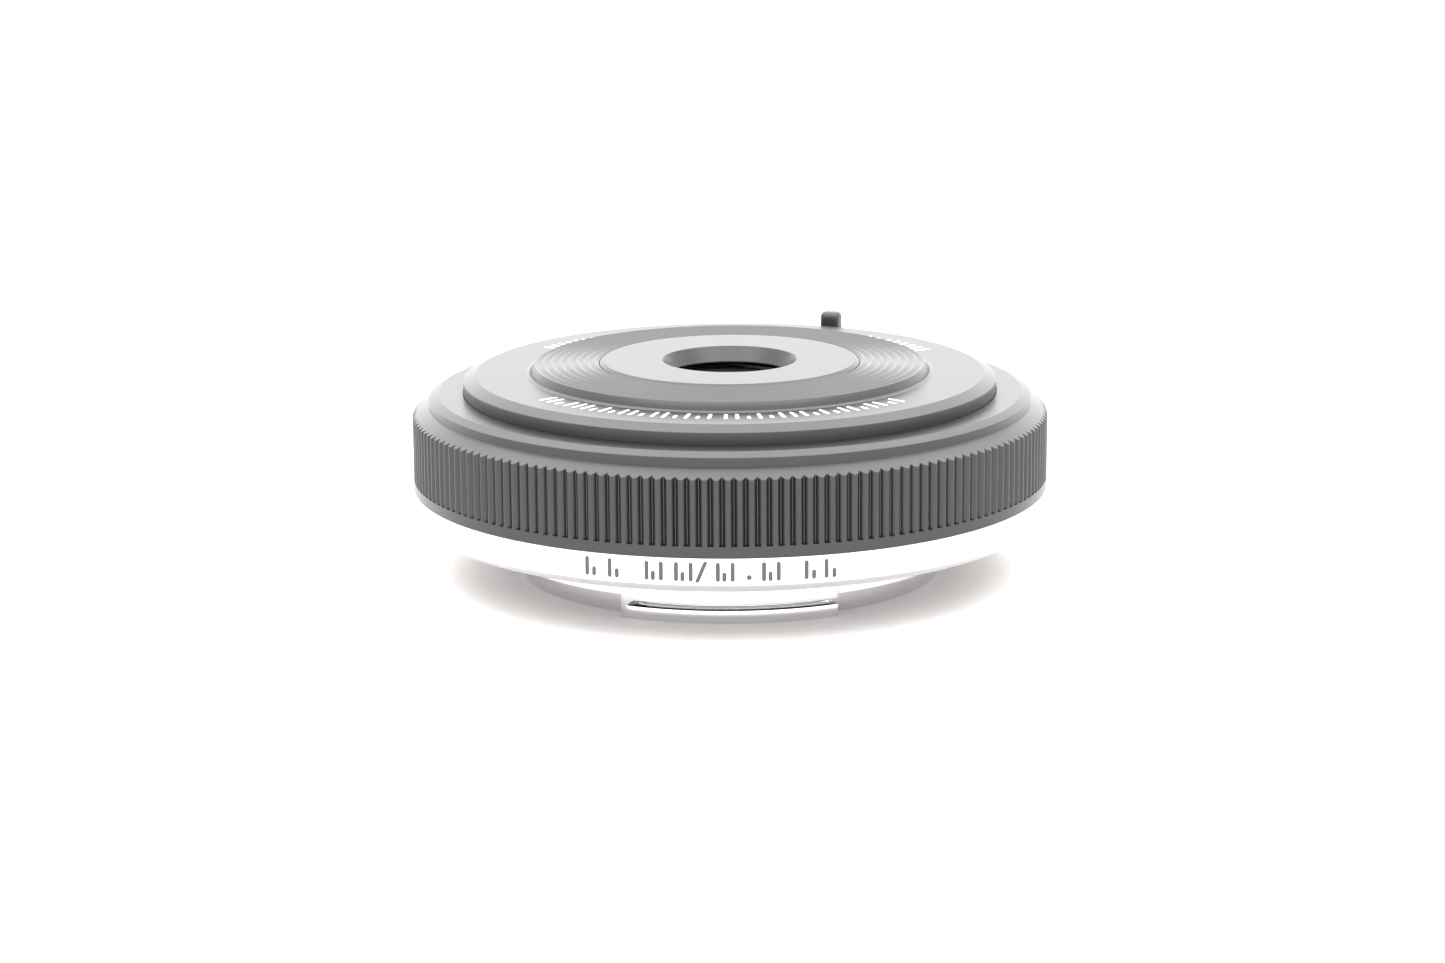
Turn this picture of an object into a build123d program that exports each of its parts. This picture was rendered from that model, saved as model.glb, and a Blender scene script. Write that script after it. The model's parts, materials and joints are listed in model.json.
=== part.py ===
"""Slim autofocus prime lens with a built-in sliding cover, standing on its bayonet.

Millimetres, +Z along the optical axis towards the subject, origin on the axis at the
rear end of the bayonet claws. The cover is open and the focus unit is at mid travel.
"""
from build123d import *
import math
import os

# ---- overall -------------------------------------------------------------------
BODY_R = 30.15            # outside of the ribbed grip
BAND_R = 30.0             # outside of the silver housing band
FLANGE_Z = 4.72           # seat that meets the camera
FRONT_Z = 20.2            # frontmost face
FIT = 0.05                # radial gap between turned pieces that slide together
EDGE = 0.1                # small broken edge

# ---- bayonet -------------------------------------------------------------------
FLANGE_R = 28.2
FLANGE_TOP_Z = 6.0
NECK_R = 20.0
REGISTER_R = 21.6         # upper part of the neck, flush with the claws
REGISTER_Z = 2.13
NECK_BORE_R = 18.7
CLAW_R = 21.6
CLAW_SLOT_Z = 1.2         # the claw's rear lip is this thick
CLAW_SLOT_TOP_Z = 1.7
CLAW_SPAN = 54.6
CLAW_MID_ANGLE = -90.3
CLAW_STOP_SPAN = 2.4      # solid metal that closes the slot at one end
CLAW_COUNT = 3
MOUNT_SCREW_COUNT = 4
MOUNT_SCREW_CIRCLE_R = 24.2
MOUNT_SCREW_ANGLE = 20.0
MOUNT_HEAD_R = 1.45
MOUNT_HEAD_THICK = 0.6
MOUNT_SHANK_R = 0.78
LOCK_HOLE_R = 1.3
LOCK_HOLE_DEPTH = 0.9
LOCK_HOLE_CIRCLE_R = 24.6
LOCK_HOLE_LONG_R = 1.7
LOCK_HOLE_ANGLE = 155.0
SHIM_THICK = 0.1

# ---- housing -------------------------------------------------------------------
BAND_LOW_Z = 4.82
BAND_LOW_R = 28.5
BAND_CHAMFER_Z = 5.75
BAND_TOP_Z = 8.25
SPIGOT_R = 27.75
SPIGOT_BORE_R = 26.6
SPIGOT_TOP_Z = 9.6
GRIP_LOW_Z = 8.28
RIB_LOW_Z = 9.32
SHOULDER_LOW_Z = 15.29
SHOULDER_TOP_Z = 16.19
RIM_R = 28.55
RIM_CHAMFER_Z = 16.98
LEDGE_Z = 17.38
LEDGE_R = 27.66
LEDGE_UNDER_Z = 16.4
GRIP_BORE_R = 27.8
RIB_COUNT = 180
RIB_GROOVE_DEPTH = 0.45
RIB_GROOVE_WIDTH = 0.42
RIB_START_ANGLE = 0.6
DOT_R = 0.9
DOT_DEPTH = 0.3
DOT_Z = 6.9
DOT_ANGLE = 90.0

# ---- front ---------------------------------------------------------------------
PLATE_Z = 19.06
PLATE_FLAT_R = 24.09
PLATE_R = 25.28
PLATE_CHAMFER_Z = 18.52
PLATE_LIP_R = 19.38
PLATE_LIP_Z = 19.22
PLATE_UNDER_Z = 18.16
PLATE_WALL_BORE_R = 24.4
PLATE_FOOT_Z = 17.2
GROOVED_Z = 19.92
GROOVED_R = 18.46
GROOVED_FOOT_R = 18.95
GROOVED_FOOT_Z = 19.2
GROOVED_INNER_Z = 20.12    # the grooved face is a very flat cone, highest at the disc
GROOVED_BORE_R = 12.38
GROOVED_SKIRT_R = 18.55
GROOVED_SKIRT_BORE_R = 17.8
GROOVED_SKIRT_Z = 16.3
GROOVED_FLANGE_R = 19.8
GROOVED_FLANGE_Z = 17.4
GROOVE_COUNT = 7           # an eighth groove is shared with the disc's edge
GROOVE_PITCH = 0.815
GROOVE_WIDTH = 0.77
GROOVE_DEPTH = 0.18
GROOVE_CREST_R = GROOVED_BORE_R + GROOVE_WIDTH / 2
GROOVE_FACE_SLOPE = (GROOVED_INNER_Z - GROOVED_Z) / (GROOVED_R - GROOVE_CREST_R)
GROOVE_CUTTER_HALF = GROOVE_WIDTH / 2 * (GROOVE_DEPTH + EDGE) / GROOVE_DEPTH
CHAMBER_Z = 18.75         # ceiling over the cover blades
DISC_R = 12.35
DISC_FLAT_R = 11.97
DISC_CHAMFER_Z = 19.96
DISC_SEAT_R = 11.35
DISC_SEAT_Z = 19.2
WINDOW_MOUTH_R = 6.39
WINDOW_R = 5.6

# ---- cover mechanism -----------------------------------------------------------
LEVER_TRAVEL = 26.0       # degrees, open to closed
BLADE_RATIO = 1.25        # blade turn for each degree of lever turn
BLADE_SWING = LEVER_TRAVEL * BLADE_RATIO
BLADE_PIVOT_R = 12.3
BLADE_PIVOT_ANGLES = (0.0, 180.0)
BLADE_R = 6.2
BLADE_OVERLAP = 0.3
BLADE_THICK = 0.25
BLADE_BOSS_R = 1.3
BLADE_TAIL_WIDTH = 2.1
BLADE_SHOULDER_ANGLE = 55.0   # where the arm leaves the round of the blade
LOWER_BLADE_Z = 18.05
UPPER_BLADE_Z = 18.4
PIVOT_PIN_R = 0.6
PIVOT_PIN_LOW_Z = 17.95
STUD_R = 0.6
STUD_REACH = 6.0          # from the blade's pivot to its stud
STUD_LOW_Z = 17.42
STUD_ANGLE = BLADE_SWING / 2 - 90   # from the pivot, with the blade closed
STUD_CLEARANCE = 0.08
RING_TOP_Z = 17.85
RING_UNDER_Z = 17.35
RING_R = 17.3
RING_BORE_R = 9.26
RING_HUB_R = 10.2
RING_HUB_Z = 15.45
KNOB_ANGLE = 67.1
KNOB_CIRCLE_R = 26.45
KNOB_WIDTH = 2.0
KNOB_RADIAL = 1.7
KNOB_TOP_Z = 20.16
KNOB_ROUND = 0.5
KNOB_FOOT_WIDTH = 3.4
KNOB_FOOT_RADIAL = 1.95
KNOB_FOOT_LOW_Z = 17.48
KNOB_FOOT_TOP_Z = 18.35
STEM_RADIAL = 1.4
SLOT_WIDTH = 1.75
SLOT_END_GAP = 0.5        # degrees left at each end of the travel
ARM_LOW_Z = 15.65
ARM_THICK = 0.5
ARM_WIDTH = 4.0
ARM_POST_IN_R = 13.0
ARM_POST_OUT_R = 16.6
SHIELD_IN_R = 24.7
SHIELD_OUT_R = 27.45
SHIELD_SPAN = 64.0
ARM_SCREW_CIRCLE_R = 14.8
ARM_SCREW_OFFSET = 1.15
ARM_SCREW_HEAD_R = 0.85
ARM_SCREW_HEAD_Z = 17.5
ARM_SCREW_SHANK_R = 0.45
ARM_SCREW_LOW_Z = 16.3
MECHANISM_LOW_Z = 14.8
MECHANISM_TOP_Z = 15.4
MECHANISM_R = 26.9
COLLAR_R = 9.2
COLLAR_BORE_R = 8.4
COLLAR_TOP_Z = 17.9
PLATE_SCREW_COUNT = 3
PLATE_SCREW_CIRCLE_R = 21.5
PLATE_SCREW_ANGLE = 10.0
PLATE_SCREW_HEAD_R = 1.3
PLATE_SCREW_HEAD_Z = 15.0
PLATE_SCREW_SHANK_R = 0.6
PLATE_SCREW_LOW_Z = 13.9
DETENT_IN_R = 19.5
DETENT_OUT_R = 24.0
DETENT_WIDTH = 1.6
DETENT_THICK = 0.08
DETENT_BUMP_R = 0.1

# ---- chassis and electronics ---------------------------------------------------
CHASSIS_LOW_Z = FLANGE_TOP_Z + SHIM_THICK
CHASSIS_FLOOR_Z = 7.3
CHASSIS_FLOOR_R = 26.5
CHASSIS_FLOOR_BORE_R = 11.0
CHASSIS_WALL_R = 15.6
CHASSIS_WALL_BORE_R = 14.4
CHASSIS_HEAD_Z = 13.6
CHASSIS_HEAD_BORE_R = 11.6
BOSS_R = 1.8
BOSS_TOP_Z = 8.5
POST_R = 1.3
POST_CIRCLE_R = 16.2
POST_ANGLES = (210.0, 330.0)
ROD_R = 0.6
ROD_CIRCLE_R = 12.8
ROD_LOW_Z = 6.5
ROD_TOP_Z = 14.5
BAFFLE_R = 18.6
BAFFLE_BORE_R = 17.8
BAFFLE_LOW_Z = 0.9
BAFFLE_THICK = 0.6
BAFFLE_TOP_Z = 5.9
BAFFLE_WINDOW_X = 23.0
BAFFLE_WINDOW_Y = 16.5
BAFFLE_WINDOW_ROUND = 2.5
CONTACT_ANGLE = 90.0
CONTACT_COUNT = 10
CONTACT_PITCH = 5.6       # degrees
CONTACT_CIRCLE_R = 16.4
CONTACT_R = 0.5
CONTACT_LOW_Z = 0.2
CONTACT_TOP_Z = 2.6
BLOCK_IN_R = 15.1
BLOCK_OUT_R = 17.6
BLOCK_SPAN = 62.0
BLOCK_LOW_Z = 0.4
BLOCK_TOP_Z = 2.4
BAFFLE_SCREW_HEAD_R = 0.95
BAFFLE_SCREW_HEAD_THICK = 0.4
BAFFLE_SCREW_SHANK_R = 0.45
BAFFLE_SCREW_TOP_Z = 4.4
BOARD_IN_R = 17.3
BOARD_OUT_R = 26.0
BOARD_Z = 9.2
BOARD_THICK = 0.8
BOARD_START_ANGLE = 65.0
BOARD_SPAN = 290.0
CHIP_THICK = 0.9
CHIPS = ((120, 5.0), (165, 3.6), (205, 4.4), (250, 5.6), (290, 3.2), (325, 4.0))   # angle, side
FLEX_WIDTH = 8.0
FLEX_THICK = 0.15
FLEX_R = 16.7
FLEX_BEND_R = 0.8
FLEX_SLOT_RADIAL = 0.9
FLEX_SLOT_WIDTH = 9.0

# ---- optics --------------------------------------------------------------------
# Sags are (rear face, front face): the height of each face's edge above its middle.
FIRST_SAGS = (-0.45, -0.5)
SECOND_SAGS = (-0.3, 0.3)
THIRD_SAGS = (0.35, 0.2)
FOURTH_SAGS = (0.55, -0.2)
FIFTH_SAGS = (-0.15, 0.35)
REAR_SAGS = (-0.35, 0.5)
CELL_R = 8.3
CELL_LOW_Z = 12.9
CELL_TOP_Z = 17.85
CELL_FLANGE_R = 10.6
CELL_FLANGE_LOW_Z = 14.2
CELL_FLANGE_TOP_Z = 14.75
FIRST_SEAT_R = 6.6
FIRST_SEAT_Z = 15.4
SECOND_SEAT_R = 5.6
SECOND_SEAT_Z = 13.45
CELL_LIP_R = 4.8
APERTURE_R = 2.6
APERTURE_THICK = 0.12
FIRST_R = 6.5
FIRST_REAR_Z = 15.9
FIRST_FRONT_Z = 17.35
FRONT_RETAINER_WIDTH = 0.7
SPANNER_ANGLE = 45.0
SECOND_R = 5.5
SECOND_REAR_Z = 13.95
SECOND_FRONT_Z = 14.75
CARRIER_R = 9.3
CARRIER_LOW_Z = 5.6
CARRIER_TOP_Z = 11.4
CARRIER_LIP_R = 5.4
THIRD_R = 6.0
THIRD_SEAT_Z = 11.1
THIRD_REAR_Z = 9.8
THIRD_FRONT_Z = 10.85
FOURTH_R = 6.8
FOURTH_SEAT_Z = 9.6
FOURTH_REAR_Z = 7.9
FOURTH_FRONT_Z = 9.75
FIFTH_R = 8.0
FIFTH_SEAT_Z = 7.8
FIFTH_REAR_Z = 6.3
FIFTH_FRONT_Z = 7.4
LENS_GAP = 0.04
FOCUS_RETAINER_WIDTH = 0.9
FOCUS_RETAINER_THICK = 0.4
COIL_R = 10.5
COIL_LOW_Z = 6.7
COIL_TOP_Z = 10.3
EAR_WIDTH = 3.2
EAR_LOW_Z = 10.45
BUSH_R = 1.3
BUSH_LOW_Z = 8.4
BUSH_CLEARANCE = 0.04
MAGNET_IN_R = 10.95
MAGNET_OUT_R = 12.35
MAGNET_LOW_Z = 7.35
MAGNET_TOP_Z = 10.6
MAGNET_SPAN = 100.0
YOKE_OUT_R = 13.2
YOKE_TOP_Z = 10.8
YOKE_SPAN = 110.0
SCALE_LENGTH = 1.6
SCALE_THICK = 0.6
SCALE_X = 10.6
SENSOR_GAP = 0.4
SENSOR_LENGTH = 3.0
SENSOR_THICK = 0.8
SENSOR_HEIGHT = 2.0
SENSOR_LOW_Z = 9.95
SENSOR_X = 12.2
REAR_CELL_R = 14.35
REAR_CELL_LOW_Z = 1.6
REAR_CELL_TOP_Z = 6.05
REAR_CELL_WALL_BORE_R = 13.4
REAR_SEAT_R = 11.85
REAR_SEAT_Z = 1.85
REAR_LIP_R = 11.0
REAR_CELL_STEP_Z = 4.7
REAR_R = 11.8
REAR_REAR_Z = 2.25
REAR_FRONT_Z = 3.7
REAR_RETAINER_Z = 4.3
REAR_RETAINER_THICK = 0.3
REAR_RETAINER_WIDTH = 1.0
SPANNER_SLOT = 0.8        # width of the slots that turn a retainer


def polar_point(radius, angle):
    """Return x and y at a radius and an angle in degrees from +X."""
    turn = math.radians(angle)
    return radius * math.cos(turn), radius * math.sin(turn)


def polar_plane(radius, angle, height):
    """Return a level plane whose x axis points away from the optical axis."""
    x, y = polar_point(radius, angle)
    return Plane(origin=(x, y, height), x_dir=(*polar_point(1, angle), 0), z_dir=(0, 0, 1))


def sector(inner_r, outer_r, middle_angle, span):
    """Return a flat piece of a ring, centred on one angle."""
    start = middle_angle - span / 2
    with BuildSketch() as flat:
        with BuildLine():
            outer = CenterArc((0, 0), outer_r, start, span)
            inner = CenterArc((0, 0), inner_r, start, span)
            Line(outer @ 0, inner @ 0)
            Line(outer @ 1, inner @ 1)
        make_face()
    return flat.sketch


def turned_section(*outline):
    """Return the half section of a turned piece from its (radius, height) corners."""
    with BuildSketch(Plane.XZ) as half:
        with BuildLine():
            Polyline(*outline, close=True)
        make_face()
    return half.sketch


def lens_section(radius, rear_z, front_z, rear_sag, front_sag):
    """Return the half section of a lens element with two spherical faces.

    A sag is the height of the face's edge above its middle.
    """
    with BuildSketch(Plane.XZ) as half:
        with BuildLine():
            Line((0, rear_z), (0, front_z))
            TangentArc((0, front_z), (radius, front_z + front_sag), tangent=(1, 0))
            Line((radius, front_z + front_sag), (radius, rear_z + rear_sag))
            TangentArc((0, rear_z), (radius, rear_z + rear_sag), tangent=(1, 0))
        make_face()
    return half.sketch


# ================================================================================
# Bayonet and rear
# ================================================================================
CLAW_ANGLES = [CLAW_MID_ANGLE + turn * 360 / CLAW_COUNT for turn in range(CLAW_COUNT)]

with BuildPart() as mount_ring:
    revolve(
        turned_section(
            (NECK_BORE_R, EDGE),
            (NECK_BORE_R + EDGE, 0),
            (NECK_R - EDGE, 0),
            (NECK_R, EDGE),
            (NECK_R, REGISTER_Z),
            (REGISTER_R, REGISTER_Z),
            (REGISTER_R, FLANGE_Z),
            (FLANGE_R - EDGE, FLANGE_Z),
            (FLANGE_R, FLANGE_Z + EDGE),
            (FLANGE_R, FLANGE_TOP_Z),
            (NECK_BORE_R, FLANGE_TOP_Z),
        ),
        axis=Axis.Z,
    )
    with BuildSketch(Plane.XY):
        for claw_angle in CLAW_ANGLES:
            add(sector(NECK_R - 2 * EDGE, CLAW_R, claw_angle, CLAW_SPAN))
    extrude(amount=REGISTER_Z)
    with BuildSketch(Plane.XY.offset(CLAW_SLOT_Z)):
        for claw_angle in CLAW_ANGLES:
            add(sector(NECK_R, CLAW_R + EDGE, claw_angle + CLAW_STOP_SPAN, CLAW_SPAN))
    extrude(amount=CLAW_SLOT_TOP_Z - CLAW_SLOT_Z, mode=Mode.SUBTRACT)
    with BuildSketch(Plane.XY.offset(FLANGE_Z)):
        with PolarLocations(MOUNT_SCREW_CIRCLE_R, MOUNT_SCREW_COUNT, start_angle=MOUNT_SCREW_ANGLE):
            Circle(MOUNT_HEAD_R + EDGE)
    extrude(amount=MOUNT_HEAD_THICK + EDGE, mode=Mode.SUBTRACT)
    with BuildSketch(Plane.XY.offset(FLANGE_Z)):
        with PolarLocations(MOUNT_SCREW_CIRCLE_R, MOUNT_SCREW_COUNT, start_angle=MOUNT_SCREW_ANGLE):
            Circle(MOUNT_SHANK_R + FIT)
    extrude(amount=FLANGE_TOP_Z - FLANGE_Z, mode=Mode.SUBTRACT)
    with BuildSketch(polar_plane(LOCK_HOLE_CIRCLE_R, LOCK_HOLE_ANGLE, FLANGE_Z)):
        SlotOverall(2 * LOCK_HOLE_LONG_R, 2 * LOCK_HOLE_R)
    extrude(amount=LOCK_HOLE_DEPTH, mode=Mode.SUBTRACT)
mount_ring.part.label = "mount_ring"

with BuildPart() as mount_screws:
    with BuildSketch(Plane.XY.offset(FLANGE_Z + EDGE)):
        with PolarLocations(MOUNT_SCREW_CIRCLE_R, MOUNT_SCREW_COUNT, start_angle=MOUNT_SCREW_ANGLE):
            Circle(MOUNT_HEAD_R)
    extrude(amount=MOUNT_HEAD_THICK)
    with BuildSketch(Plane.XY.offset(FLANGE_Z + EDGE)):
        with PolarLocations(MOUNT_SCREW_CIRCLE_R, MOUNT_SCREW_COUNT, start_angle=MOUNT_SCREW_ANGLE):
            Rectangle(MOUNT_HEAD_R, MOUNT_HEAD_R / 5)
            Rectangle(MOUNT_HEAD_R / 5, MOUNT_HEAD_R)
    extrude(amount=MOUNT_HEAD_THICK / 2, mode=Mode.SUBTRACT)
    with BuildSketch(Plane.XY.offset(FLANGE_Z + EDGE + MOUNT_HEAD_THICK)):
        with PolarLocations(MOUNT_SCREW_CIRCLE_R, MOUNT_SCREW_COUNT, start_angle=MOUNT_SCREW_ANGLE):
            Circle(MOUNT_SHANK_R)
    extrude(amount=BOSS_TOP_Z - FLANGE_Z - MOUNT_HEAD_THICK - 4 * EDGE)
mount_screws.part.label = "mount_screws"

with BuildPart() as mount_shim:
    with BuildSketch(Plane.XY.offset(FLANGE_TOP_Z)):
        Circle(CHASSIS_FLOOR_R)
        Circle(MOUNT_SCREW_CIRCLE_R - 2 * BOSS_R, mode=Mode.SUBTRACT)
        with PolarLocations(MOUNT_SCREW_CIRCLE_R, MOUNT_SCREW_COUNT, start_angle=MOUNT_SCREW_ANGLE):
            Circle(MOUNT_SHANK_R + EDGE, mode=Mode.SUBTRACT)
    extrude(amount=SHIM_THICK)
mount_shim.part.label = "mount_shim"

with BuildPart() as rear_baffle:
    revolve(
        turned_section(
            (0, BAFFLE_LOW_Z),
            (BAFFLE_R - EDGE, BAFFLE_LOW_Z),
            (BAFFLE_R, BAFFLE_LOW_Z + EDGE),
            (BAFFLE_R, BAFFLE_TOP_Z),
            (BAFFLE_BORE_R, BAFFLE_TOP_Z),
            (BAFFLE_BORE_R, BAFFLE_LOW_Z + BAFFLE_THICK),
            (0, BAFFLE_LOW_Z + BAFFLE_THICK),
        ),
        axis=Axis.Z,
    )
    with BuildSketch(Plane.XY.offset(BAFFLE_LOW_Z)):
        RectangleRounded(BAFFLE_WINDOW_X, BAFFLE_WINDOW_Y, BAFFLE_WINDOW_ROUND)
        add(sector(BLOCK_IN_R - FIT, BLOCK_OUT_R + FIT, CONTACT_ANGLE, BLOCK_SPAN + 1))
        for post_angle in POST_ANGLES:
            with Locations(polar_point(POST_CIRCLE_R, post_angle)):
                Circle(BAFFLE_SCREW_SHANK_R + EDGE)
    extrude(amount=BAFFLE_THICK, mode=Mode.SUBTRACT)
rear_baffle.part.label = "rear_baffle"

with BuildPart() as baffle_screws:
    with BuildSketch(Plane.XY.offset(BAFFLE_LOW_Z - BAFFLE_SCREW_HEAD_THICK)):
        for post_angle in POST_ANGLES:
            with Locations(polar_point(POST_CIRCLE_R, post_angle)):
                Circle(BAFFLE_SCREW_HEAD_R)
                Rectangle(BAFFLE_SCREW_HEAD_R, BAFFLE_SCREW_HEAD_R / 4, mode=Mode.SUBTRACT)
                Rectangle(BAFFLE_SCREW_HEAD_R / 4, BAFFLE_SCREW_HEAD_R, mode=Mode.SUBTRACT)
    extrude(amount=BAFFLE_SCREW_HEAD_THICK / 2)
    with BuildSketch(Plane.XY.offset(BAFFLE_LOW_Z - BAFFLE_SCREW_HEAD_THICK / 2)):
        for post_angle in POST_ANGLES:
            with Locations(polar_point(POST_CIRCLE_R, post_angle)):
                Circle(BAFFLE_SCREW_HEAD_R)
    extrude(amount=BAFFLE_SCREW_HEAD_THICK / 2)
    with BuildSketch(Plane.XY.offset(BAFFLE_LOW_Z)):
        for post_angle in POST_ANGLES:
            with Locations(polar_point(POST_CIRCLE_R, post_angle)):
                Circle(BAFFLE_SCREW_SHANK_R)
    extrude(amount=BAFFLE_SCREW_TOP_Z - BAFFLE_LOW_Z)
baffle_screws.part.label = "baffle_screws"

CONTACT_START = CONTACT_ANGLE - CONTACT_PITCH * (CONTACT_COUNT - 1) / 2
CONTACT_ARC = CONTACT_PITCH * CONTACT_COUNT

with BuildPart() as contact_block:
    with BuildSketch(Plane.XY.offset(BLOCK_LOW_Z)):
        add(sector(BLOCK_IN_R, BLOCK_OUT_R, CONTACT_ANGLE, BLOCK_SPAN))
        with PolarLocations(CONTACT_CIRCLE_R, CONTACT_COUNT, CONTACT_START, CONTACT_ARC):
            Circle(CONTACT_R + FIT, mode=Mode.SUBTRACT)
    extrude(amount=BLOCK_TOP_Z - BLOCK_LOW_Z)
contact_block.part.label = "contact_block"

with BuildPart() as contact_pins:
    with BuildSketch(Plane.XY.offset(CONTACT_LOW_Z)):
        with PolarLocations(CONTACT_CIRCLE_R, CONTACT_COUNT, CONTACT_START, CONTACT_ARC):
            Circle(CONTACT_R)
    extrude(amount=CONTACT_TOP_Z - CONTACT_LOW_Z)
    fillet(contact_pins.edges().group_by(Axis.Z)[0], radius=CONTACT_R / 2)
contact_pins.part.label = "contact_pins"

# ================================================================================
# Chassis and electronics
# ================================================================================
with BuildPart() as chassis:
    revolve(
        turned_section(
            (CHASSIS_FLOOR_BORE_R, CHASSIS_LOW_Z),
            (CHASSIS_FLOOR_R, CHASSIS_LOW_Z),
            (CHASSIS_FLOOR_R, CHASSIS_FLOOR_Z),
            (CHASSIS_WALL_R, CHASSIS_FLOOR_Z),
            (CHASSIS_WALL_R, CHASSIS_HEAD_Z),
            (MECHANISM_R, CHASSIS_HEAD_Z),
            (MECHANISM_R, MECHANISM_LOW_Z),
            (CHASSIS_HEAD_BORE_R, MECHANISM_LOW_Z),
            (CHASSIS_HEAD_BORE_R, CHASSIS_HEAD_Z),
            (CHASSIS_WALL_BORE_R, CHASSIS_HEAD_Z),
            (CHASSIS_WALL_BORE_R, CHASSIS_FLOOR_Z),
            (CHASSIS_FLOOR_BORE_R, CHASSIS_FLOOR_Z),
        ),
        axis=Axis.Z,
    )
    with BuildSketch(Plane.XY.offset(CHASSIS_FLOOR_Z)):
        with PolarLocations(MOUNT_SCREW_CIRCLE_R, MOUNT_SCREW_COUNT, start_angle=MOUNT_SCREW_ANGLE):
            Circle(BOSS_R)
    extrude(amount=BOSS_TOP_Z - CHASSIS_FLOOR_Z)
    with BuildSketch(Plane.XY.offset(BAFFLE_LOW_Z + BAFFLE_THICK)):
        for post_angle in POST_ANGLES:
            with Locations(polar_point(POST_CIRCLE_R, post_angle)):
                Circle(POST_R)
    extrude(amount=CHASSIS_LOW_Z - BAFFLE_LOW_Z - BAFFLE_THICK)
    with BuildSketch(Plane.XY.offset(BAFFLE_LOW_Z + BAFFLE_THICK)):
        for post_angle in POST_ANGLES:
            with Locations(polar_point(POST_CIRCLE_R, post_angle)):
                Circle(BAFFLE_SCREW_SHANK_R + FIT)
    extrude(amount=BAFFLE_SCREW_TOP_Z - BAFFLE_LOW_Z, mode=Mode.SUBTRACT)
    with BuildSketch(Plane.XY.offset(CHASSIS_LOW_Z)):
        with PolarLocations(MOUNT_SCREW_CIRCLE_R, MOUNT_SCREW_COUNT, start_angle=MOUNT_SCREW_ANGLE):
            Circle(MOUNT_SHANK_R + FIT)
    with BuildSketch(polar_plane(FLEX_R, CONTACT_ANGLE, CHASSIS_LOW_Z)):
        Rectangle(FLEX_SLOT_RADIAL, FLEX_SLOT_WIDTH)
    extrude(amount=BOSS_TOP_Z - CHASSIS_LOW_Z - EDGE, mode=Mode.SUBTRACT)
    with BuildSketch(Plane.XY.offset(ROD_LOW_Z)):
        with PolarLocations(ROD_CIRCLE_R, 2):
            Circle(ROD_R + FIT)
    extrude(amount=MECHANISM_LOW_Z - ROD_LOW_Z, mode=Mode.SUBTRACT)
    with BuildSketch(Plane.XY.offset(PLATE_SCREW_LOW_Z)):
        with PolarLocations(PLATE_SCREW_CIRCLE_R, PLATE_SCREW_COUNT, start_angle=PLATE_SCREW_ANGLE):
            Circle(PLATE_SCREW_SHANK_R + FIT)
    extrude(amount=MECHANISM_LOW_Z - PLATE_SCREW_LOW_Z, mode=Mode.SUBTRACT)
chassis.part.label = "chassis"

with BuildPart() as guide_rods:
    with BuildSketch(Plane.XY.offset(ROD_LOW_Z + EDGE)):
        with PolarLocations(ROD_CIRCLE_R, 2):
            Circle(ROD_R)
    extrude(amount=ROD_TOP_Z - ROD_LOW_Z)
guide_rods.part.label = "guide_rods"

with BuildPart() as main_board:
    with BuildSketch(Plane.XY.offset(BOARD_Z)):
        add(sector(BOARD_IN_R, BOARD_OUT_R, BOARD_START_ANGLE + BOARD_SPAN / 2, BOARD_SPAN))
    extrude(amount=BOARD_THICK)
main_board.part.label = "main_board"

with BuildPart() as board_chips:
    for chip_angle, chip_side in CHIPS:
        with BuildSketch(polar_plane((BOARD_IN_R + BOARD_OUT_R) / 2, chip_angle, BOARD_Z + BOARD_THICK)):
            Rectangle(chip_side, chip_side)
    extrude(amount=CHIP_THICK)
board_chips.part.label = "board_chips"

with BuildPart() as flex_cable:
    with BuildSketch(Plane.YZ):
        with BuildLine() as flex_path:
            FilletPolyline(
                (FLEX_R, CONTACT_TOP_Z + EDGE),
                (FLEX_R, BOARD_Z - FLEX_THICK),
                (BOARD_IN_R + 2 * FLEX_BEND_R, BOARD_Z - FLEX_THICK),
                radius=FLEX_BEND_R,
            )
        trace(line_width=FLEX_THICK)
    extrude(amount=FLEX_WIDTH / 2, both=True)
flex_cable.part.label = "flex_cable"

# ================================================================================
# Rear optics
# ================================================================================
with BuildPart() as rear_cell:
    revolve(
        turned_section(
            (REAR_LIP_R, REAR_CELL_LOW_Z),
            (REAR_CELL_R, REAR_CELL_LOW_Z),
            (REAR_CELL_R, REAR_CELL_TOP_Z),
            (REAR_CELL_WALL_BORE_R, REAR_CELL_TOP_Z),
            (REAR_CELL_WALL_BORE_R, REAR_CELL_STEP_Z),
            (REAR_SEAT_R, REAR_CELL_STEP_Z),
            (REAR_SEAT_R, REAR_SEAT_Z),
            (REAR_LIP_R, REAR_SEAT_Z),
        ),
        axis=Axis.Z,
    )
rear_cell.part.label = "rear_cell"

with BuildPart() as rear_element:
    revolve(lens_section(REAR_R, REAR_REAR_Z, REAR_FRONT_Z, *REAR_SAGS), axis=Axis.Z)
rear_element.part.label = "rear_element"

with BuildPart() as rear_retainer:
    with BuildSketch(Plane.XY.offset(REAR_RETAINER_Z)):
        Circle(REAR_SEAT_R - FIT)
        Circle(REAR_SEAT_R - REAR_RETAINER_WIDTH, mode=Mode.SUBTRACT)
        with PolarLocations(REAR_SEAT_R, 2):
            Rectangle(REAR_RETAINER_WIDTH, SPANNER_SLOT, mode=Mode.SUBTRACT)
    extrude(amount=REAR_RETAINER_THICK)
rear_retainer.part.label = "rear_retainer"

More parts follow.
